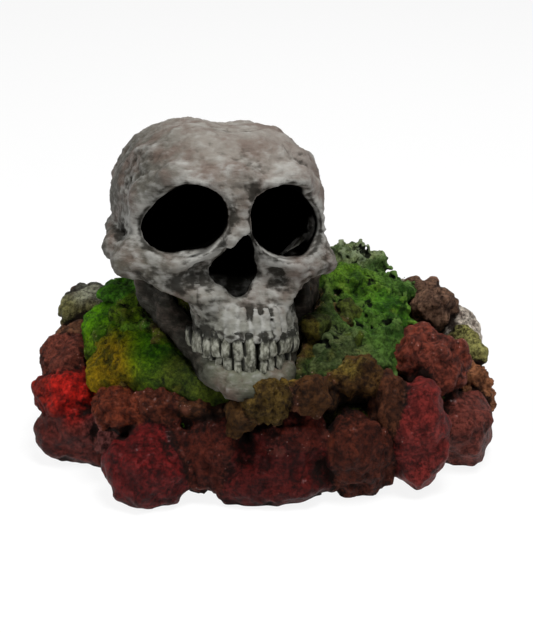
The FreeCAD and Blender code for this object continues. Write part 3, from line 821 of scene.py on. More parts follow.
# ---- skull -----------------------------------------------------------------------------------------------
@dataclass
class Head:
    """The skull casting in its own frame: X to its left, Y backwards, Z up, from between the eye sockets."""

    at: Array
    turn: Array = field(default_factory=lambda: turned(13.0, 4.0, -12.0))
    step: float = 0.8
    wall: float = 4.5
    lobes: tuple[Spot, Spot] = ((-10.0, 32.0, 4.5), (12.5, 32.0, 3.5))
    lobe_half: Spot = (27.8, 52.0, 30.0)
    sockets: tuple[Spot, ...] = (
        (-12.8, 3.0, 7.8), (-18.8, -0.2, 10.6), (-24.2, -4.2, 7.2),
        (13.5, 3.0, 8.2), (18.6, -1.5, 11.3), (24.2, -4.0, 9.2),
    )
    nose: tuple[Spot, ...] = (
        (2.2, -7.6, 3.0), (2.2, -13.0, 5.5), (-3.2, -19.0, 5.2), (4.6, -19.2, 4.8), (1.8, -24.2, 4.2),
    )
    mouth_shift: float = 7.0
    face: tuple[tuple[float, float, float, float], ...] = (
        (-44, 6.8, -17.6, 19.3), (-37, 6.0, -16.0, 18.4), (-31, 4.2, -13.5, 19.4), (-25, 1.8, -11.0, 26.0),
        (-18, 0.0, -9.5, 33.5), (-8, -0.6, -9.5, 34.0), (6, 0.0, -9.5, 33.5), (20, 1.0, 0.0, 24.0),
    )

    def arch(self, share: float, out: float = 0.0, half: float = 19.2, deep: float = 30.0) -> tuple[float, float]:
        """A place on the arch of the teeth, share running from -1 to 1."""
        angle = math.radians(share * 78)
        return self.mouth_shift + (half + out) * math.sin(angle), 11.5 - (deep + out) * math.cos(angle)

    def _trunk(self, inset: float) -> Trunk:
        """The face behind the features, or its hollow."""
        back = 20.0
        rows = tuple((z, shift, (front + back) / 2, half - inset, (back - front) / 2 - inset)
                     for z, shift, front, half in self.face)
        return Trunk(rows, 2.2)

    def hull(self) -> Clay:
        """The outside of the skull, without openings."""
        clay = Clay((-54, -33, -52), (56, 92, 42), self.step)
        for centre in self.lobes:
            clay.join(Ball(centre, self.lobe_half), 4)
        clay.join(self._trunk(0), 7)
        clay.join(Ball((1.5, 7, 15), (28, 21, 14)), 8)
        for side in (-1, 1):
            self._features(clay, side)
        clay.join(Bar((0, -14.5, 6), (-0.5, -18.5, -5), 5.2, 4.2), 5)
        clay.join(Bar((0, -15, 15), (0, -15.5, 9), 6, 5), 6)
        for share in np.linspace(-0.92, 0.92, 13):
            x, y = self.arch(share, 0.4)
            clay.join(Bar((x, y + 0.5, -42), (x * 0.96, y + 2.5, -32.5), 2.3, 1.6), 1.6)
        return clay

    def _features(self, clay: Clay, side: int) -> None:
        """Brow, rim of the socket, cheekbone, cheek bar and hollows of one side."""
        flip = lambda x, y, z: (side * x, y, z)
        clay.join(Bar(flip(32.5, 1, 8), flip(23, -11, 14.6), 3.0, 3.8), 5)
        clay.join(Bar(flip(23, -11, 14.6), flip(7, -15.5, 12.5), 3.8, 3.8), 5)
        clay.join(Bar(flip(32.5, 1, 8), flip(33.5, 2, -9), 2.8, 3.0), 4)
        clay.join(Bar(flip(34.5, 2, -11), flip(22, -11, -17), 3.5, 3.0), 4)
        clay.join(Bar(flip(22, -11, -17), flip(10, -15, -9), 3.0, 2.7), 4)
        clay.join(Ball(flip(34.5, 2, -17), (8, 8, 6.5)), 5)
        clay.join(Bar(flip(29, -5, -20), (4 + side * 15, -10.5, -29), 4.6, 2.6), 7)
        clay.join(Bar(flip(37, 6, -15.5), flip(39.5, 16, -13), 4.2, 3.8), 4)
        clay.join(Bar(flip(39.5, 16, -13), flip(35, 46, -8), 3.8, 3.2), 3)
        clay.carve(Ball(flip(46.5, 9, 3), (9, 13, 14)), 5)
        clay.carve(Ball(flip(19, -19.5, -25), (6, 5.5, 7.5)), 5)
        clay.carve(Ball(flip(35, -6, -33), (9.5, 13, 9)), 6)
        clay.carve(Ball(flip(33, 15, -24), (8.5, 11, 11)), 4)

    def openings(self, clay: Clay) -> None:
        """Sockets, nose and the hollow inside."""
        for x, z, radius in self.sockets:
            clay.carve(Tunnel((x, -12, z), (radius, 26, radius), 0, 2.0), 4.5)
        for side in (-1, 1):
            clay.carve(Ball((side * 19.6 + 1, -15.5, -0.5), (14.0, 7.5, 12.6), turned(0, side * 14)), 4)
        for x, z, radius in self.nose:
            clay.carve(Tunnel((x, -14, z), (radius, 22, radius), 0, 2.0), 2.6)
        for centre in self.lobes:
            clay.carve(Ball(centre, tuple(h - self.wall for h in self.lobe_half)), 1)
        clay.carve(self._trunk(self.wall), 1)
        clay.carve(Tunnel((0, 10, -34), (20, 8, 20), 0, 2.4), 1)

    def build(self, finish: bpy.types.Material) -> bpy.types.Object:
        """Sculpts the skull, paints its marks and sets it in place."""
        clay = self.hull()
        lumps = Grain(11)
        clay.roughen(lumps, 15, 1.1, 2)
        clay.roughen(Grain(12), (6, 6, 3), 0.5, 3)
        whole = Clay(tuple(clay.low), tuple(clay.low), clay.step)
        whole.axes, whole.value = clay.axes, clay.value.copy()
        self.openings(clay)
        stains = Grain(14)
        skin = clay.skin()
        skin.relax(1, 0.4)
        spots, ways = skin.points, skin.normals()
        # deep: how far a place lies inside the closed outer skin, used to paint the unlit insides black as painted
        # shade.
        deep = ramp(-whole.sample(spots), 1.0, 3.6)
        # Painted shade: hollow starts from how enclosed each place is, so creases and sockets come out darker; the
        # stain blots and the nose root patch added below are the paint's own stains.
        hollow = hollows(clay, spots, ways) * 1.15
        rise = rises(clay, spots, ways, (1.2, 2.2))
        chips = Grain(13).layers(spots, (3.4, 3.4, 1.9), 3, 0.6)
        # Painted shade with stain: a darker band along the gum line where the teeth meet the bone, broken up by stain
        # noise.
        gum_shade_and_stain = ramp(-spots[:, 2], 37.5, 42.0) * ramp(-spots[:, 1], -6, 4)
        hollow = hollow + gum_shade_and_stain * (0.28 + 0.7 * stains.layers(spots, 2.4, 2))
        shade = ramp(-spots[:, 2], 15, 30) * ramp(spots[:, 1] - 0.25 * spots[:, 2], -2, 14)
        x, y, z = spots.T
        root = ramp(9 - np.abs(x - 1), 0, 6) * ramp(12 - np.abs(z - 6), 0, 8) * ramp(-y, 6, 11)
        # Painted shade on the -x flank of the upper jaw, streaked by the drips noise.
        flank_shade = ramp(-x, 3, 12) * ramp(-z, 15, 22) * ramp(-y, 2, 8)
        drips = 0.5 + 0.9 * stains.layers(spots, (2.6, 2.6, 9.0), 3)
        hollow = hollow + 0.55 * shade + 0.12 * stains.layers(spots, 9, 2) + (0.26 * root + 0.36 * flank_shade) * drips
        skin.push(0.34 * chips * (1 - deep))
        marks = {
            "rise": np.clip(rise * 1.1 + chips * 0.25, 0, 1), "hollow": np.clip(hollow - chips * 0.18, 0, 1),
            "deep": deep, "paint": self._paint(spots),
        }
        skin.place(self.turn, self.at)
        return piece("skull", skin, finish, marks)

    def _paint(self, spots: Array) -> Array:
        """The base coat over the skull, with painted shade on its -x side, low on its outer cheeks and on its outer
        sides towards the back.
        """
        x, y, z = spots.T
        # Painted shade: the dark coat on the -x side, the one low on the outer cheeks and the one on the outer sides
        # towards the back; the brown patch at the nose root and the greener lower face are the paint's own colour.
        coats = (
            (ramp(x, 2, 34), (116, 107, 100), 1.0), (ramp(-x, 8, 34), (62, 60, 52), 0.85),
            (ramp(11 - np.abs(x), 0, 9) * ramp(16 - np.abs(z - 3), 0, 13), (64, 52, 42), 0.6),
            (ramp(-z, 14, 42), (108, 111, 101), 0.7), (ramp(-z, 4, 16) * ramp(np.abs(x), 22, 34), (74, 69, 58), 0.75),
            (ramp(np.abs(x), 25, 36) * ramp(y, -4, 14), (56, 52, 44), 0.8),
        )
        colour = np.tile(paint(117, 111, 103), (len(spots), 1))
        for share, coat, strength in coats:
            share = (share * strength)[:, None]
            colour = colour * (1 - share) + np.array(paint(*coat)) * share
        return colour


JAW_CHAIN = (
    (0, -17, -60.3, 4.6), (-7, -15.5, -59.8, 4.7), (-11.5, -9, -57, 4.9), (-14.5, 1, -53, 4.9), (-18.5, 11, -47.5, 5.0),
    (-24, 20, -41, 5.0), (-31, 29, -33.5, 4.5), (-35, 34, -21, 3.6),
)


@dataclass
class Jaw:
    """The lower jaw, in the skull's frame."""

    head: Head
    half: float = 16.8
    step: float = 0.8

    def build(self, finish: bpy.types.Material) -> bpy.types.Object:
        """Sculpts the jaw and sets it in place."""
        shift = self.head.mouth_shift
        clay = Clay((-44, -33, -72), (54, 46, -10), self.step)
        for side in (-1, 1):
            spots = [(shift + side * -x, y, z, r) for x, y, z, r in JAW_CHAIN]
            for (x, y, z, r), (x2, y2, z2, r2) in zip(spots, spots[1:]):
                clay.join(Bar((x, y, z), (x2, y2, z2), r, r2), 3)
            clay.join(Ball((shift + side * 27, 22, -36), (3.6, 8, 11)), 4)
        shares = np.linspace(-1, 1, 17)
        for first, second in zip(shares, shares[1:]):
            a, b = self.head.arch(first, -0.4, self.half), self.head.arch(second, -0.4, self.half)
            clay.join(Bar((*a, -58), (*b, -58), 2.5, 2.5), 3)
        clay.join(Ball((shift - 3, -19.5, -61.5), (7, 4, 4)), 4)
        for share in np.linspace(-0.9, 0.9, 12):
            x, y = self.head.arch(share, 0.2, self.half)
            clay.join(Bar((x, y, -56.5), (x * 0.97, y + 0.8, -62), 2.0, 1.3), 1.6)
        clay.roughen(Grain(21), 9, 0.7, 2)
        clay.roughen(Grain(22), (3.5, 3.5, 2.6), 0.35, 2)
        skin = clay.skin()
        skin.relax(1, 0.4)
        spots, ways = skin.points, skin.normals()
        chips = Grain(23).layers(spots, (3.0, 3.0, 2.2), 3, 0.6)
        # Painted shade: inner darkens the inside of the jaw towards its back, on top of the crease shade from hollows.
        inner = ramp(spots[:, 1], -8, 6) * ramp(-np.abs(spots[:, 0] - shift), -26, -12)
        hollow = hollows(clay, spots, ways) + 0.55 * inner
        rise = rises(clay, spots, ways, (1.2, 2.2))
        skin.push(0.3 * chips)
        # Painted shade: the sides of the jaw get a dark olive coat, less dry-brushed pale and more crease darkening;
        # the coat also darkens towards the bottom.
        side = (0.9 * ramp(np.abs(spots[:, 0] - shift), 11, 22))[:, None]
        low = ramp(-spots[:, 2], 58, 67)[:, None]
        colour = np.array(paint(84, 86, 70)) * (1 - low) + np.array(paint(50, 54, 42)) * low
        colour = colour * (1 - side) + np.array(paint(34, 31, 22)) * side
        marks = {
            "rise": np.clip(rise + chips * 0.25, 0, 1) * (1 - 0.9 * side[:, 0]),
            "hollow": np.clip(hollow - chips * 0.2 + 0.3 * side[:, 0], 0, 1), "deep": np.zeros(len(spots)),
            "paint": colour,
        }
        skin.place(self.head.turn, self.head.at)
        return piece("jaw", skin, finish, marks)


@dataclass
class TeethRow:
    """One row of teeth along the arch."""

    name: str
    head: Head
    middle: float
    height: float
    up: int
    out: float
    half: float = 19.2
    width: float = 5.1
    count: int = 16
    seed: int = 1
    unevenness: float = 0.2
    slip: float = 0.55

    def _crown(self) -> bpy.types.Object:
        """One tooth: a crown that narrows to its neck, biting edge towards the other row."""
        clay = Clay((-5, -5, -8), (5, 5, 8), 0.36)
        half = self.height / 2
        edge = -self.up
        rows = [(-half, 0.62, 0.74), (-half * 0.4, 0.84, 0.95), (half * 0.35, 1.0, 0.94), (half * 0.8, 0.98, 0.72),
                (half, 0.84, 0.5)]
        rows = [(-edge * -z, w, d) for z, w, d in rows]
        rows = sorted((z, 0.0, 0.0, w * self.width / 2, d * 2.3) for z, w, d in rows)
        clay.join(Trunk(tuple(rows), 2.4))
        skin = clay.skin()
        skin.relax(4)
        skin.push(0.16 * Grain(self.seed).layers(skin.points, (1.6, 1.6, 2.6), 2))
        block = mould(self.name + "_crown", skin.points, skin.quads)
        x, y, z = skin.points.T
        # Painted shade: the hollow mark is high at the neck, at the sides next to the other teeth and at the back.
        neck = ramp(z * self.up, half * 0.15, half)
        side = ramp(np.abs(x) / self.width * 2, 0.6, 0.95)
        mark(block, {"hollow": np.clip(0.75 * neck + 0.8 * side + 0.6 * ramp(y, -0.6, 1.6), 0, 1)})
        return block

    def build(self, finish: bpy.types.Material) -> bpy.types.Object:
        """Sets the teeth along the arch."""
        line = [(*self.head.arch(s, self.out, self.half), self.middle) for s in np.linspace(-0.97, 0.97, 60)]
        mesh = bpy.data.meshes.new(self.name + "_line")
        edges = [(i, i + 1) for i in range(len(line) - 1)]
        mesh.from_pydata((np.array(line) * MM).tolist(), edges, [])
        carrier = bpy.data.objects.new(self.name + "_line", mesh)
        bpy.context.scene.collection.objects.link(carrier)
        values = {"Block": self._crown(), "Count": self.count, "Seed": self.seed, "Unevenness": self.unevenness,
                  "Slip": self.slip * MM, "Finish": finish}
        row = row_recipe().run(carrier, self.name, values)
        bpy.data.objects.remove(carrier)
        place = Matrix.Translation(self.head.at * MM) @ Matrix(self.head.turn.tolist()).to_4x4()
        row.data.transform(place)
        row.data.shade_smooth()
        return row


# ---- rocks -----------------------------------------------------------------------------------------------
class Look(Enum):
    """How a boulder's skin is worked: lump width, height, layers and squash along its own Z."""

    SMOOTH = (11.0, 0.9, 3, 1.0)
    LUMPY = (7.0, 1.7, 3, 1.0)
    STRIATED = (4.2, 1.3, 3, 3.2)
    PITTED = (4.0, 1.7, 3, 0.9)


@dataclass(frozen=True)
class Boulder:
    """One painted boulder."""

    centre: Spot
    half: Spot
    yaw: float
    coat: tuple[int, int, int]
    look: Look = Look.LUMPY
    gloss: float = 0.5
    facets: int = 9

    @property
    def turn(self) -> Array:
        """Its own directions."""
        return turned(self.yaw)

    def bounds(self) -> tuple[Array, Array]:
        """Lowest and highest corners."""
        return Ball(self.centre, self.half, self.turn).bounds()

    def distance(self, x: Array, y: Array, z: Array) -> Array:
        """Signed distance to the worn, faceted skin, about."""
        u, v, w = local(x, y, z, self.centre, self.turn)
        a, b, c = self.half
        near = np.sqrt((u / a) ** 2 + (v / b) ** 2 + (w / c) ** 2)
        steep = np.sqrt((u / a ** 2) ** 2 + (v / b ** 2) ** 2 + (w / c ** 2) ** 2)
        gap = near * (near - 1) / np.maximum(steep, 1e-6)
        source = np.random.default_rng(int(abs(self.centre[0] * 31 + self.centre[1] * 7 + self.centre[2])) + 5)
        for _ in range(self.facets):
            way = source.normal(size=3)
            way /= np.linalg.norm(way)
            cut = source.uniform(0.7, 0.93)
            slope = math.sqrt(sum((p / h) ** 2 for p, h in zip(way, self.half)))
            face = (u / a * way[0] + v / b * way[1] + w / c * way[2] - cut) / slope
            blend = np.maximum(2.4 - np.abs(gap - face), 0)
            gap = np.maximum(gap, face) + blend * blend / 9.6
        return gap


LEFT = (
    Boulder((-75, 43, 43), (11, 12, 9), 20, (72, 80, 72), Look.LUMPY, 0.2),
    Boulder((-73, 28, 44), (12, 14, 9), -15, (84, 90, 54), Look.LUMPY, 0.3),
    Boulder((-75, 13, 39), (12, 13, 9), 10, (82, 58, 40), Look.PITTED, 0.3),
    Boulder((-79, 0, 34), (11, 14, 12), 0, (80, 42, 32), Look.LUMPY, 0.5),
    Boulder((-76, -11, 26), (15, 14, 11), 15, (96, 24, 15), Look.LUMPY, 0.6),
    Boulder((-71, -13, 11), (20, 17, 16), -10, (74, 30, 25), Look.SMOOTH, 0.9),
    Boulder((-80, 24, 14), (11, 18, 21), 0, (70, 32, 26), Look.LUMPY),
    Boulder((-56, -30, 17), (10, 9, 16), 30, (62, 24, 16), Look.LUMPY, 0.4),
)
FRONT = (
    Boulder((-43.5, -46, 11), (17.5, 16, 17), 15, (76, 15, 15), Look.SMOOTH, 0.9),
    Boulder((-52, -33, 30), (16, 12, 9), -10, (82, 38, 21), Look.PITTED, 0.6),
    Boulder((-38, -37, 33), (12, 9, 7), 20, (66, 32, 18), Look.LUMPY, 0.5),
    Boulder((-22, -43, 16), (17, 14, 20), -30, (62, 24, 14), Look.STRIATED, 0.6),
    Boulder((-23, -38, 33), (14, 10, 7), 0, (56, 34, 17), Look.LUMPY, 0.4),
    Boulder((4, -47, 10), (25, 13, 20), 0, (60, 12, 9), Look.SMOOTH, 0.8),
    Boulder((9, -46, 25), (15, 10, 11), 10, (66, 24, 16), Look.LUMPY, 0.6),
    Boulder((34, -44, 16), (15, 14, 21), 15, (62, 27, 15), Look.STRIATED, 0.6),
    Boulder((34, -34, 42), (11, 9, 9), 0, (60, 44, 17), Look.PITTED, 0.3),
    Boulder((21, -38, 36), (8, 7, 7), 0, (50, 34, 14), Look.LUMPY, 0.3),
)
CHIN = (
    Boulder((1, -52, 43), (10, 9, 9), 10, (66, 56, 22), Look.PITTED, 0.3),
    Boulder((14, -49, 43), (9, 8, 8), -10, (60, 40, 18), Look.LUMPY, 0.4),
    Boulder((-9, -51, 35), (7, 7, 7), 0, (58, 42, 18), Look.LUMPY, 0.4),
)
RIGHT = (
    Boulder((47, -37, 29), (11, 12, 17), -20, (62, 36, 20), Look.STRIATED, 0.5),
    Boulder((56, -38, 20), (11.5, 16, 26), 10, (90, 29, 26), Look.SMOOTH, 0.9),
    Boulder((64, -11, 40), (17, 16, 14), 25, (90, 44, 32), Look.LUMPY, 0.7),
    Boulder((74, -16, 13), (17, 17, 18), -15, (86, 44, 37), Look.SMOOTH, 0.9),
    Boulder((81, 18, 32), (9, 11, 11), 0, (112, 120, 70), Look.LUMPY, 0.2),
    Boulder((82, 5, 16), (9, 13, 16), 10, (112, 78, 52), Look.PITTED, 0.4),
    Boulder((62, 42, 45), (9, 10, 9), 0, (140, 150, 132), Look.LUMPY, 0.2),
    Boulder((66, 33, 47), (13, 13, 12), -10, (88, 72, 58), Look.LUMPY, 0.3),
    Boulder((78, 36, 30), (12, 14, 14), 15, (164, 170, 160), Look.LUMPY, 0.2),
    Boulder((74, 22, 14), (17, 18, 17), 0, (88, 48, 38), Look.LUMPY),
)
BACK = (
    Boulder((-50, 50, 24), (22, 15, 22), 15, (86, 44, 36), Look.LUMPY),
    Boulder((-16, 55, 22), (19, 12, 20), -5, (92, 50, 40), Look.SMOOTH, 0.7),
    Boulder((14, 54, 26), (15, 12, 20), 10, (80, 44, 34), Look.STRIATED),
    Boulder((58, 50, 22), (17, 14, 20), -10, (94, 52, 44), Look.LUMPY),
    Boulder((-70, 40, 18), (16, 16, 17), 30, (82, 40, 34), Look.SMOOTH, 0.7),
    Boulder((-50, 34, 44), (15, 13, 12), 20, (82, 66, 44), Look.PITTED),
    Boulder((-20, 47, 42), (17, 12, 12), -10, (78, 58, 40), Look.LUMPY),
    Boulder((12, 44, 43), (15, 12, 12), 10, (80, 70, 42), Look.PITTED),
)
CORE = ((0, 0, 4, 77, 48), (20, 0, 4, 77, 47), (36, -3, 5, 69, 43), (48, -10, 8, 55, 37), (60, -18, 12, 41, 32),
        (67, -19, 14, 33, 28))


@dataclass
class RockPile:
    """The hollow rock casting: rings of boulders on a core of rubble."""

    head: Head
    low: Array
    high: Array
    inlet: Array
    step: float = 0.85
    wall: float = 5.0
    jaw_room: float = 6.8
    rubble_count: int = 90
    groups: dict[str, tuple[Boulder, ...]] = field(default_factory=lambda: {
        "rocks_left": LEFT, "rocks_front": FRONT, "rocks_chin": CHIN, "rocks_right": RIGHT, "rocks_back": BACK})

    def __post_init__(self) -> None:
        """Builds the coarse whole that the hollows are judged by."""
        self.whole = Clay((-100, -72, -2), (100, 78, 76), 2.0)
        for boulders in self.groups.values():
            for boulder in boulders:
                self.whole.join(boulder)
        self.whole.join(Trunk(CORE))
        self.seats = self._seats()

    def _seats(self) -> list:
        """Shapes of the skull and jaw, which the rocks leave free."""
        turn, at = self.head.turn, self.head.at
        out = lambda spot: tuple(turn @ np.array(spot) + at)
        seats = [Ball(out(c), tuple(h + 0.5 for h in self.head.lobe_half), turn) for c in self.head.lobes]
        shift = self.head.mouth_shift
        for side in (1, -1):
            chain = [(shift + side * x, y, z) for x, y, z, _ in JAW_CHAIN]
            seats += [Bar(out(a), out(b), self.jaw_room, self.jaw_room) for a, b in zip(chain, chain[1:])]
        seats += [Ball(out((shift, 4, -46)), (17, 22, 18), turn), Ball(out((0, 8, -24)), (32, 18, 18), turn)]
        return seats

    def clear(self, clay: Clay, seated: bool) -> None:
        """Takes the ground, the cavity, the inlet's recess and, if seated, the skull's seat out of the clay."""
        for seat in self.seats if seated else ():
            clay.carve(seat, 1.5)
        inner = tuple((z, x, y, a, b) for z, x, y, a, b in CORE)
        clay.carve(Trunk(inner[:-1], 2.0, -self.wall), 0)
        clay.carve(Ball((0, 4, 0), (72, 43, 40)), 0)
        x, y, z = self.inlet
        clay.carve(Tunnel((x, y + 20, z), (12, 20, 12), 0, 2.0), 1)
        cut = clay.axes[2] < 0.0
        clay.value[:, :, cut] = np.maximum(clay.value[:, :, cut], -clay.axes[2][cut])
        clay.value[:, :, clay.axes[2] <= self.low[2]] = clay.step

    def _group(self, name: str, boulders: tuple[Boulder, ...], finish: bpy.types.Material) -> bpy.types.Object:
        """Sculpts one ring of boulders as one mesh."""
        corners = np.array([boulder.bounds() for boulder in boulders])
        low = corners[:, 0].min(0) - 4
        low[2] = -2 * self.step
        clay = Clay(tuple(low), tuple(corners[:, 1].max(0) + 4), self.step)
        for boulder in boulders:
            clay.join(boulder, 3.0)
        clay.roughen(Grain(31), 12, 1.9, 2)
        clay.roughen(Grain(34), 4.5, 0.7, 2)
        return self._finish(name, clay, boulders, finish)

    def _core(self, finish: bpy.types.Material) -> bpy.types.Object:
        """Sculpts the core with small rubble on it."""
        clay = Clay((-82, -52, -2 * self.step), (82, 62, 72), 1.0)
        clay.join(Trunk(CORE))
        source = np.random.default_rng(41)
        rubble = []
        for _ in range(self.rubble_count):
            level = source.uniform(24, 66)
            cx, cy, a, b = (np.interp(level, [r[0] for r in CORE], [r[i] for r in CORE]) for i in (1, 2, 3, 4))
            angle = source.uniform(0, 2 * math.pi)
            half = tuple(source.uniform(4, 8.5, 3))
            spot = (cx + (a - 1) * math.cos(angle), cy + (b - 1) * math.sin(angle), level)
            tone = (56, 44, 26)
            if spot[0] > 12:
                tone = (54, 66, 22)
            elif spot[0] < -24:
                tone = (60, 104, 14)
            coat = tuple(int(v) for v in np.array(tone) + source.integers(-10, 11, 3))
            rubble.append(Boulder(spot, half, source.uniform(0, 180), coat, Look.LUMPY, 0.3, 6))
            clay.join(rubble[-1], 1.0)
        clay.roughen(Grain(32), 9, 1.4, 2)
        return self._finish("rock_core", clay, tuple(rubble), finish)

    def _finish(self, name: str, clay: Clay, boulders: tuple[Boulder, ...],
                finish: bpy.types.Material) -> bpy.types.Object:
        """Clears the clay, works its skin boulder by boulder and paints it."""
        self.clear(clay, boulders is not CHIN)
        skin = clay.skin()
        skin.relax(1, 0.35)
        spots, ways = skin.points, skin.normals()
        gaps = np.stack([np.linalg.norm((spots - b.centre) / b.half, axis=1) for b in boulders])
        gaps += 0.05 * Grain(33).at(spots, 5.0)
        nearest = gaps.argmin(0)
        close = np.sort(gaps, axis=0)[:2]
        seam = 1 - ramp(close[-1] - close[0], 0.0, 0.16) if len(boulders) > 1 else np.zeros(len(spots))
        relief, gloss = np.zeros(len(spots)), np.zeros(len(spots))
        colour = np.zeros((len(spots), 3))
        for look in Look:
            size, height, layers, squash = look.value
            worked = Grain(50 + layers).layers(spots, (size, size, size * squash), layers, 0.55)
            mine = np.isin(nearest, [i for i, b in enumerate(boulders) if b.look is look])
            relief[mine] = (height * worked)[mine]
        for i, boulder in enumerate(boulders):
            colour[nearest == i] = paint(*boulder.coat)
            gloss[nearest == i] = boulder.gloss
        # Painted shade: the hollow mark darkens crevices, the seams between boulders and places tucked deep in the
        # pile.
        shallow = ramp(-self.whole.sample(spots), -1.0, 6.0)
        hollow = hollows(clay, spots, ways, (1.2, 2.5, 5.0)) + 0.35 * seam
        hollow = 0.8 * hollow + 0.4 * hollows(self.whole, spots, ways, (4.0, 8.0)) + 0.2 * shallow
        rise = rises(clay, spots, ways, (1.5, 3.0))
        skin.push(relief * (1 - 0.5 * seam) * ramp(spots[:, 2], 0.0, 3.0))
        skin.points[:, 2] = np.maximum(skin.points[:, 2], 0.05)
        skin.points = np.clip(skin.points, self.low - (2, 2, 0), self.high + (2, 2, 6))
        worn = relief / 2.2
        marks = {
            "rise": np.clip(rise + worn * 0.35, 0, 1), "hollow": np.clip(hollow - worn * 0.22, 0, 1),
            "gloss": gloss, "paint": self._tint(spots, colour),
        }
        return piece(name, skin, finish, marks)

    def _tint(self, spots: Array, colour: Array) -> Array:
        """Patches of overspray: moss green at the top, yellow and red on the left, pink by the ground."""
        blot = Grain(61).layers(spots, 9, 3)
        patches = (
            ((-60, -22, 34), 9, (138, 104, 26), 0.9), ((-74, -22, 32), 11, (150, 22, 14), 0.9),
            ((-62, -33, 22), 9, (142, 92, 90), 0.6), ((5, -46, 49), 7, (112, 100, 38), 0.8),
            ((-70, 31, 55), 12, (116, 128, 114), 0.85), ((30, -36, 52), 8, (92, 88, 34), 0.7),
        )
        for centre, reach, coat, strength in patches:
            gap = np.linalg.norm(spots - centre, axis=1) + 3 * blot
            share = (strength * (1 - ramp(gap, reach * 0.5, reach * 1.25)))[:, None]
            colour = colour * (1 - share) + np.array(paint(*coat)) * share
        return colour

    def build(self, finish: bpy.types.Material) -> dict[str, bpy.types.Object]:
        """Builds every group and the core."""
        pieces = {name: self._group(name, boulders, finish) for name, boulders in self.groups.items()}
        pieces["rock_core"] = self._core(finish)
        return pieces


# ---- moss ------------------------------------------------------------------------------------------------
@dataclass
class Moss:
    """A body of sponged green moss made of lumps."""

    name: str
    lumps: tuple[tuple[Spot, Spot, float], ...]
    bands: tuple[tuple[Spot, tuple[int, int, int], tuple[int, int, int]], ...]
    pile: RockPile
    depth: float = 3.3
    seed: int = 71
    step: float = 0.75

    def build(self, finish: bpy.types.Material) -> bpy.types.Object:
        """Sculpts the lumps, eats caves into them and paints them."""
        corners = np.array([Ball(c, h, turned(t)).bounds() for c, h, t in self.lumps])
        clay = Clay(tuple(corners[:, 0].min(0) - 5), tuple(corners[:, 1].max(0) + 5), self.step)
        for centre, half, turn in self.lumps:
            clay.join(Ball(centre, half, turned(turn)), 5)
        clay.roughen(Grain(self.seed), 8.5, self.depth, 2)
        clay.roughen(Grain(self.seed + 1), 3.6, self.depth * 0.5, 2)
        for seat in self.pile.seats:
            clay.carve(seat, 1)
        clay.carve(Trunk(CORE, 2.0, -4.0))
        skin = clay.skin()
        skin.relax(1, 0.3)
        spots, ways = skin.points, skin.normals()
        fluff = Grain(self.seed + 2).layers(spots, 2.1, 2, 0.6)
        # Painted shade: hollow measures how enclosed each place is, for darkening the caves.
        hollow = hollows(clay, spots, ways, (1.2, 2.5, 5.0)) * 1.2
        rise = rises(clay, spots, ways, (1.5, 3.0))
        skin.push(0.55 * fluff)
        gaps = np.stack([np.linalg.norm(spots - np.array(c), axis=1) for c, _, _ in self.bands]) ** 2
        share = 1 / (gaps + 9.0) ** 2.2
        share /= share.sum(0)
        coats = np.array([paint(*c) for _, c, _ in self.bands])
        tips = np.array([paint(*c) for _, _, c in self.bands])
        marks = {
            "rise": np.clip(rise + fluff * 0.4, 0, 1), "hollow": np.clip(hollow - fluff * 0.3, 0, 1),
            "paint": share.T @ coats, "tip": share.T @ tips,
        }
        return piece(self.name, skin, finish, marks)


RIGHT_MOSS = (
    ((36, 44, 54), (15, 12, 14), 10), ((48, 32, 48), (13, 12, 11), -20), ((34, 24, 52), (15, 14, 13), 0),
    ((44, 12, 46), (14, 13, 11), 15), ((31, 4, 46), (11, 13, 11), -10), ((44, -6, 43), (12, 12, 10), 5),
    ((28, -15, 43), (10, 13, 9), 20), ((22, -24, 41), (9, 8, 8), 0), ((21, -6, 48), (10, 13, 11), 0),
    ((20, 14, 56), (10, 14, 11), 0), ((38, -22, 39), (10, 8, 8), 0),
)
RIGHT_COATS = (
    ((36, 46, 64), (106, 120, 92), (150, 162, 134)), ((50, 34, 54), (66, 100, 40), (112, 144, 76)),
    ((34, 22, 58), (70, 106, 22), (122, 150, 50)), ((46, 10, 50), (54, 98, 18), (108, 146, 46)),
    ((34, 0, 50), (54, 88, 26), (100, 132, 60)), ((46, -8, 46), (60, 92, 36), (102, 128, 68)),
    ((26, -18, 46), (66, 78, 48), (104, 118, 76)), ((20, 0, 52), (44, 56, 24), (80, 92, 48)),
)
LEFT_MOSS = (
    ((-52, 22, 45), (15, 14, 11), 0), ((-59, 6, 45), (15, 15, 12), 0), ((-49, -8, 45), (18, 15, 12), 0),
    ((-57, -17, 37), (13, 10, 9), 0), ((-42, -21, 43), (16, 12, 11), 0), ((-34, -31, 40), (15, 9, 9), 0),
    ((-22, -36, 40), (11, 8, 8), 0), ((-44, 8, 52), (13, 17, 11), 0),
)
LEFT_COATS = (
    ((-56, 24, 56), (58, 116, 10), (100, 148, 40)), ((-62, 6, 52), (72, 126, 2), (120, 156, 12)),
    ((-48, -4, 54), (68, 124, 0), (112, 156, 8)), ((-56, -20, 42), (128, 104, 4), (176, 142, 10)),
    ((-42, -22, 48), (64, 116, 2), (108, 144, 14)), ((-30, -33, 46), (54, 66, 14), (88, 92, 30)),
)


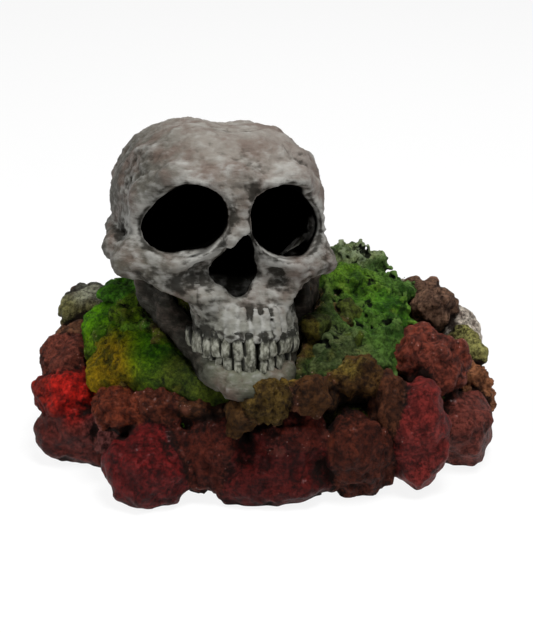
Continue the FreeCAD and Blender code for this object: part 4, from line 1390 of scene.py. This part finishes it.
# ---- the rest --------------------------------------------------------------------------------------------
@dataclass
class Hardware:
    """Finishes for the air parts, screws and plate, which keep their machined shapes."""

    finishes: dict[str, PlainFinish] = field(default_factory=lambda: {
        "base_plate": PlainFinish(paint(92, 88, 84), paint(58, 54, 50), 0.7, grain=1.2, relief=0.2),
        "plate_screws": PlainFinish(paint(198, 198, 196), paint(128, 128, 126), 0.28, 1.0, lines=(4, 4, 0.25)),
        "cradle_screws": PlainFinish(paint(198, 198, 196), paint(128, 128, 126), 0.28, 1.0, lines=(4, 4, 0.25)),
        "inlet_connector": PlainFinish(paint(44, 44, 46), paint(20, 20, 22), 0.42),
        "inlet_nut": PlainFinish(paint(44, 44, 46), paint(20, 20, 22), 0.42),
        "inlet_washer": PlainFinish(paint(196, 200, 198), paint(158, 164, 162), 0.5),
        "air_tube": PlainFinish(paint(206, 212, 210), paint(168, 176, 174), 0.3, lines=(0.7, 6, 6)),
        "stone_stem": PlainFinish(paint(60, 96, 140), paint(28, 56, 96), 0.4),
        "stone_cradle": PlainFinish(paint(44, 44, 46), paint(20, 20, 22), 0.45),
        "air_stone": PlainFinish(paint(92, 128, 168), paint(30, 48, 78), 0.85, grain=0.7, relief=0.6),
    })

    def build(self) -> None:
        """Puts the finishes on the nodes."""
        for name, finish in self.finishes.items():
            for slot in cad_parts[name].material_slots:
                slot.material = finish.make(name + "_finish")
            LOG.info("finish %s", name)


@dataclass
class Studio:
    """Pale floor, soft light and the camera."""

    camera_at: Spot = (0.0, -0.5749, 0.2863)
    camera_pitch: float = 68.0
    lens: float = 90.1
    sky: float = 0.22
    glow: float = 0.88
    floor_tone: float = 0.12
    floor_reach: float = 3.0
    lamp_aim: Spot = (0.0, 0.0, 0.06)
    key: float = 7.6
    side: float = 1.5
    back: float = 1.5

    def _lamp(self, name: str, at: Spot, size: float, power: float) -> None:
        """Adds one soft square lamp that faces the ornament."""
        data = bpy.data.lights.new(name, "AREA")
        data.shape, data.size, data.energy = "SQUARE", size, power
        lamp = bpy.data.objects.new(name, data)
        lamp.location = at
        aim = Matrix.Translation(at).to_translation() - Matrix.Translation(self.lamp_aim).to_translation()
        lamp.rotation_euler = aim.to_track_quat("Z", "Y").to_euler()
        bpy.context.scene.collection.objects.link(lamp)

    def build(self) -> None:
        """Sets the stage."""
        scene = bpy.context.scene
        mesh = bpy.data.meshes.new("floor")
        reach = self.floor_reach
        mesh.from_pydata([(-reach, -reach, 0), (reach, -reach, 0), (reach, reach, 0), (-reach, reach, 0)], [],
                         [(0, 1, 2, 3)])
        floor = bpy.data.objects.new("floor", mesh)
        scene.collection.objects.link(floor)
        sheet = Sheet("floor_white")
        mesh.materials.append(sheet.close({
            "Base Color": (*[self.floor_tone] * 3, 1.0), "Roughness": 1.0, "Specular IOR Level": 0.0,
            "Emission Color": (1.0, 1.0, 1.0, 1.0), "Emission Strength": self.glow,
        }))
        world = bpy.data.worlds.new("soft_sky")
        world.use_nodes = True
        background = world.node_tree.nodes["Background"]
        background.inputs["Color"].default_value = (1.0, 1.0, 1.0, 1.0)
        background.inputs["Strength"].default_value = self.sky
        scene.world = world
        self._lamp("key", (0.12, -0.22, 0.85), 0.3, self.key)
        self._lamp("side", (-0.5, -0.3, 0.55), 0.4, self.side)
        self._lamp("back", (0.1, 0.6, 0.7), 0.5, self.back)
        data = bpy.data.cameras.new("view")
        data.lens, data.sensor_width, data.clip_start = self.lens, 36.0, 0.01
        camera = bpy.data.objects.new("view", data)
        camera.location = self.camera_at
        camera.rotation_euler = (math.radians(self.camera_pitch), 0, 0)
        scene.collection.objects.link(camera)
        scene.camera = camera
        scene.view_settings.view_transform = "Standard"


def middle(node: str) -> Array:
    """Middle of a node's box, in millimetres."""
    low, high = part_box(node)
    return (np.array(low) + np.array(high)) / 2 / MM


def adopt(obj: bpy.types.Object, node: str) -> None:
    """Puts a piece that stands for a node under the root body and hides the node's own part."""
    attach(obj, ROOT)
    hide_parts(node)
    LOG.info("piece %s for %s: %d points", obj.name, node, len(obj.data.vertices))


def main() -> None:
    """Builds the ornament in order."""
    logging.basicConfig(level=logging.INFO, format="%(message)s")
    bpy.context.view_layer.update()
    head = Head(at=middle("skull_casting") + (5.89, -27.23, 9.64))
    bone, tooth, rock, moss = BoneFinish(), ToothFinish(), RockFinish(), MossFinish()
    bone_coat, tooth_coat = bone.make("bone_resin_paint"), tooth.make("tooth_paint")
    rock_coat, moss_coat = rock.make("rock_paint"), moss.make("moss_paint")
    adopt(head.build(bone_coat), "skull_casting")
    adopt(Jaw(head).build(bone_coat), "lower_jaw")
    upper = TeethRow("upper_teeth", head, -45.2, 8.9, 1, 0.8, seed=3)
    lower = TeethRow("lower_teeth", head, -53.0, 7.9, -1, 0.0, 16.8, 4.6, seed=4)
    adopt(upper.build(tooth_coat), "skull_casting")
    adopt(lower.build(tooth_coat), "lower_jaw")
    low, high = (np.array(corner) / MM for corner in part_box("rock_base"))
    wall = np.array(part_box("inlet_washer")[0]) / MM
    pile = RockPile(head, low, high, np.array([middle("inlet_washer")[0], wall[1], middle("inlet_washer")[2]]))
    for obj in pile.build(rock_coat).values():
        adopt(obj, "rock_base")
    spongy = Moss("moss_right", RIGHT_MOSS, RIGHT_COATS, pile).build(moss_coat)
    bank = Moss("moss_left", LEFT_MOSS, LEFT_COATS, pile, 1.1, 81).build(moss_coat)
    adopt(spongy, "moss_clump")
    adopt(bank, "rock_base")
    Hardware().build()
    Studio().build()


if __name__ == "__main__":
    main()
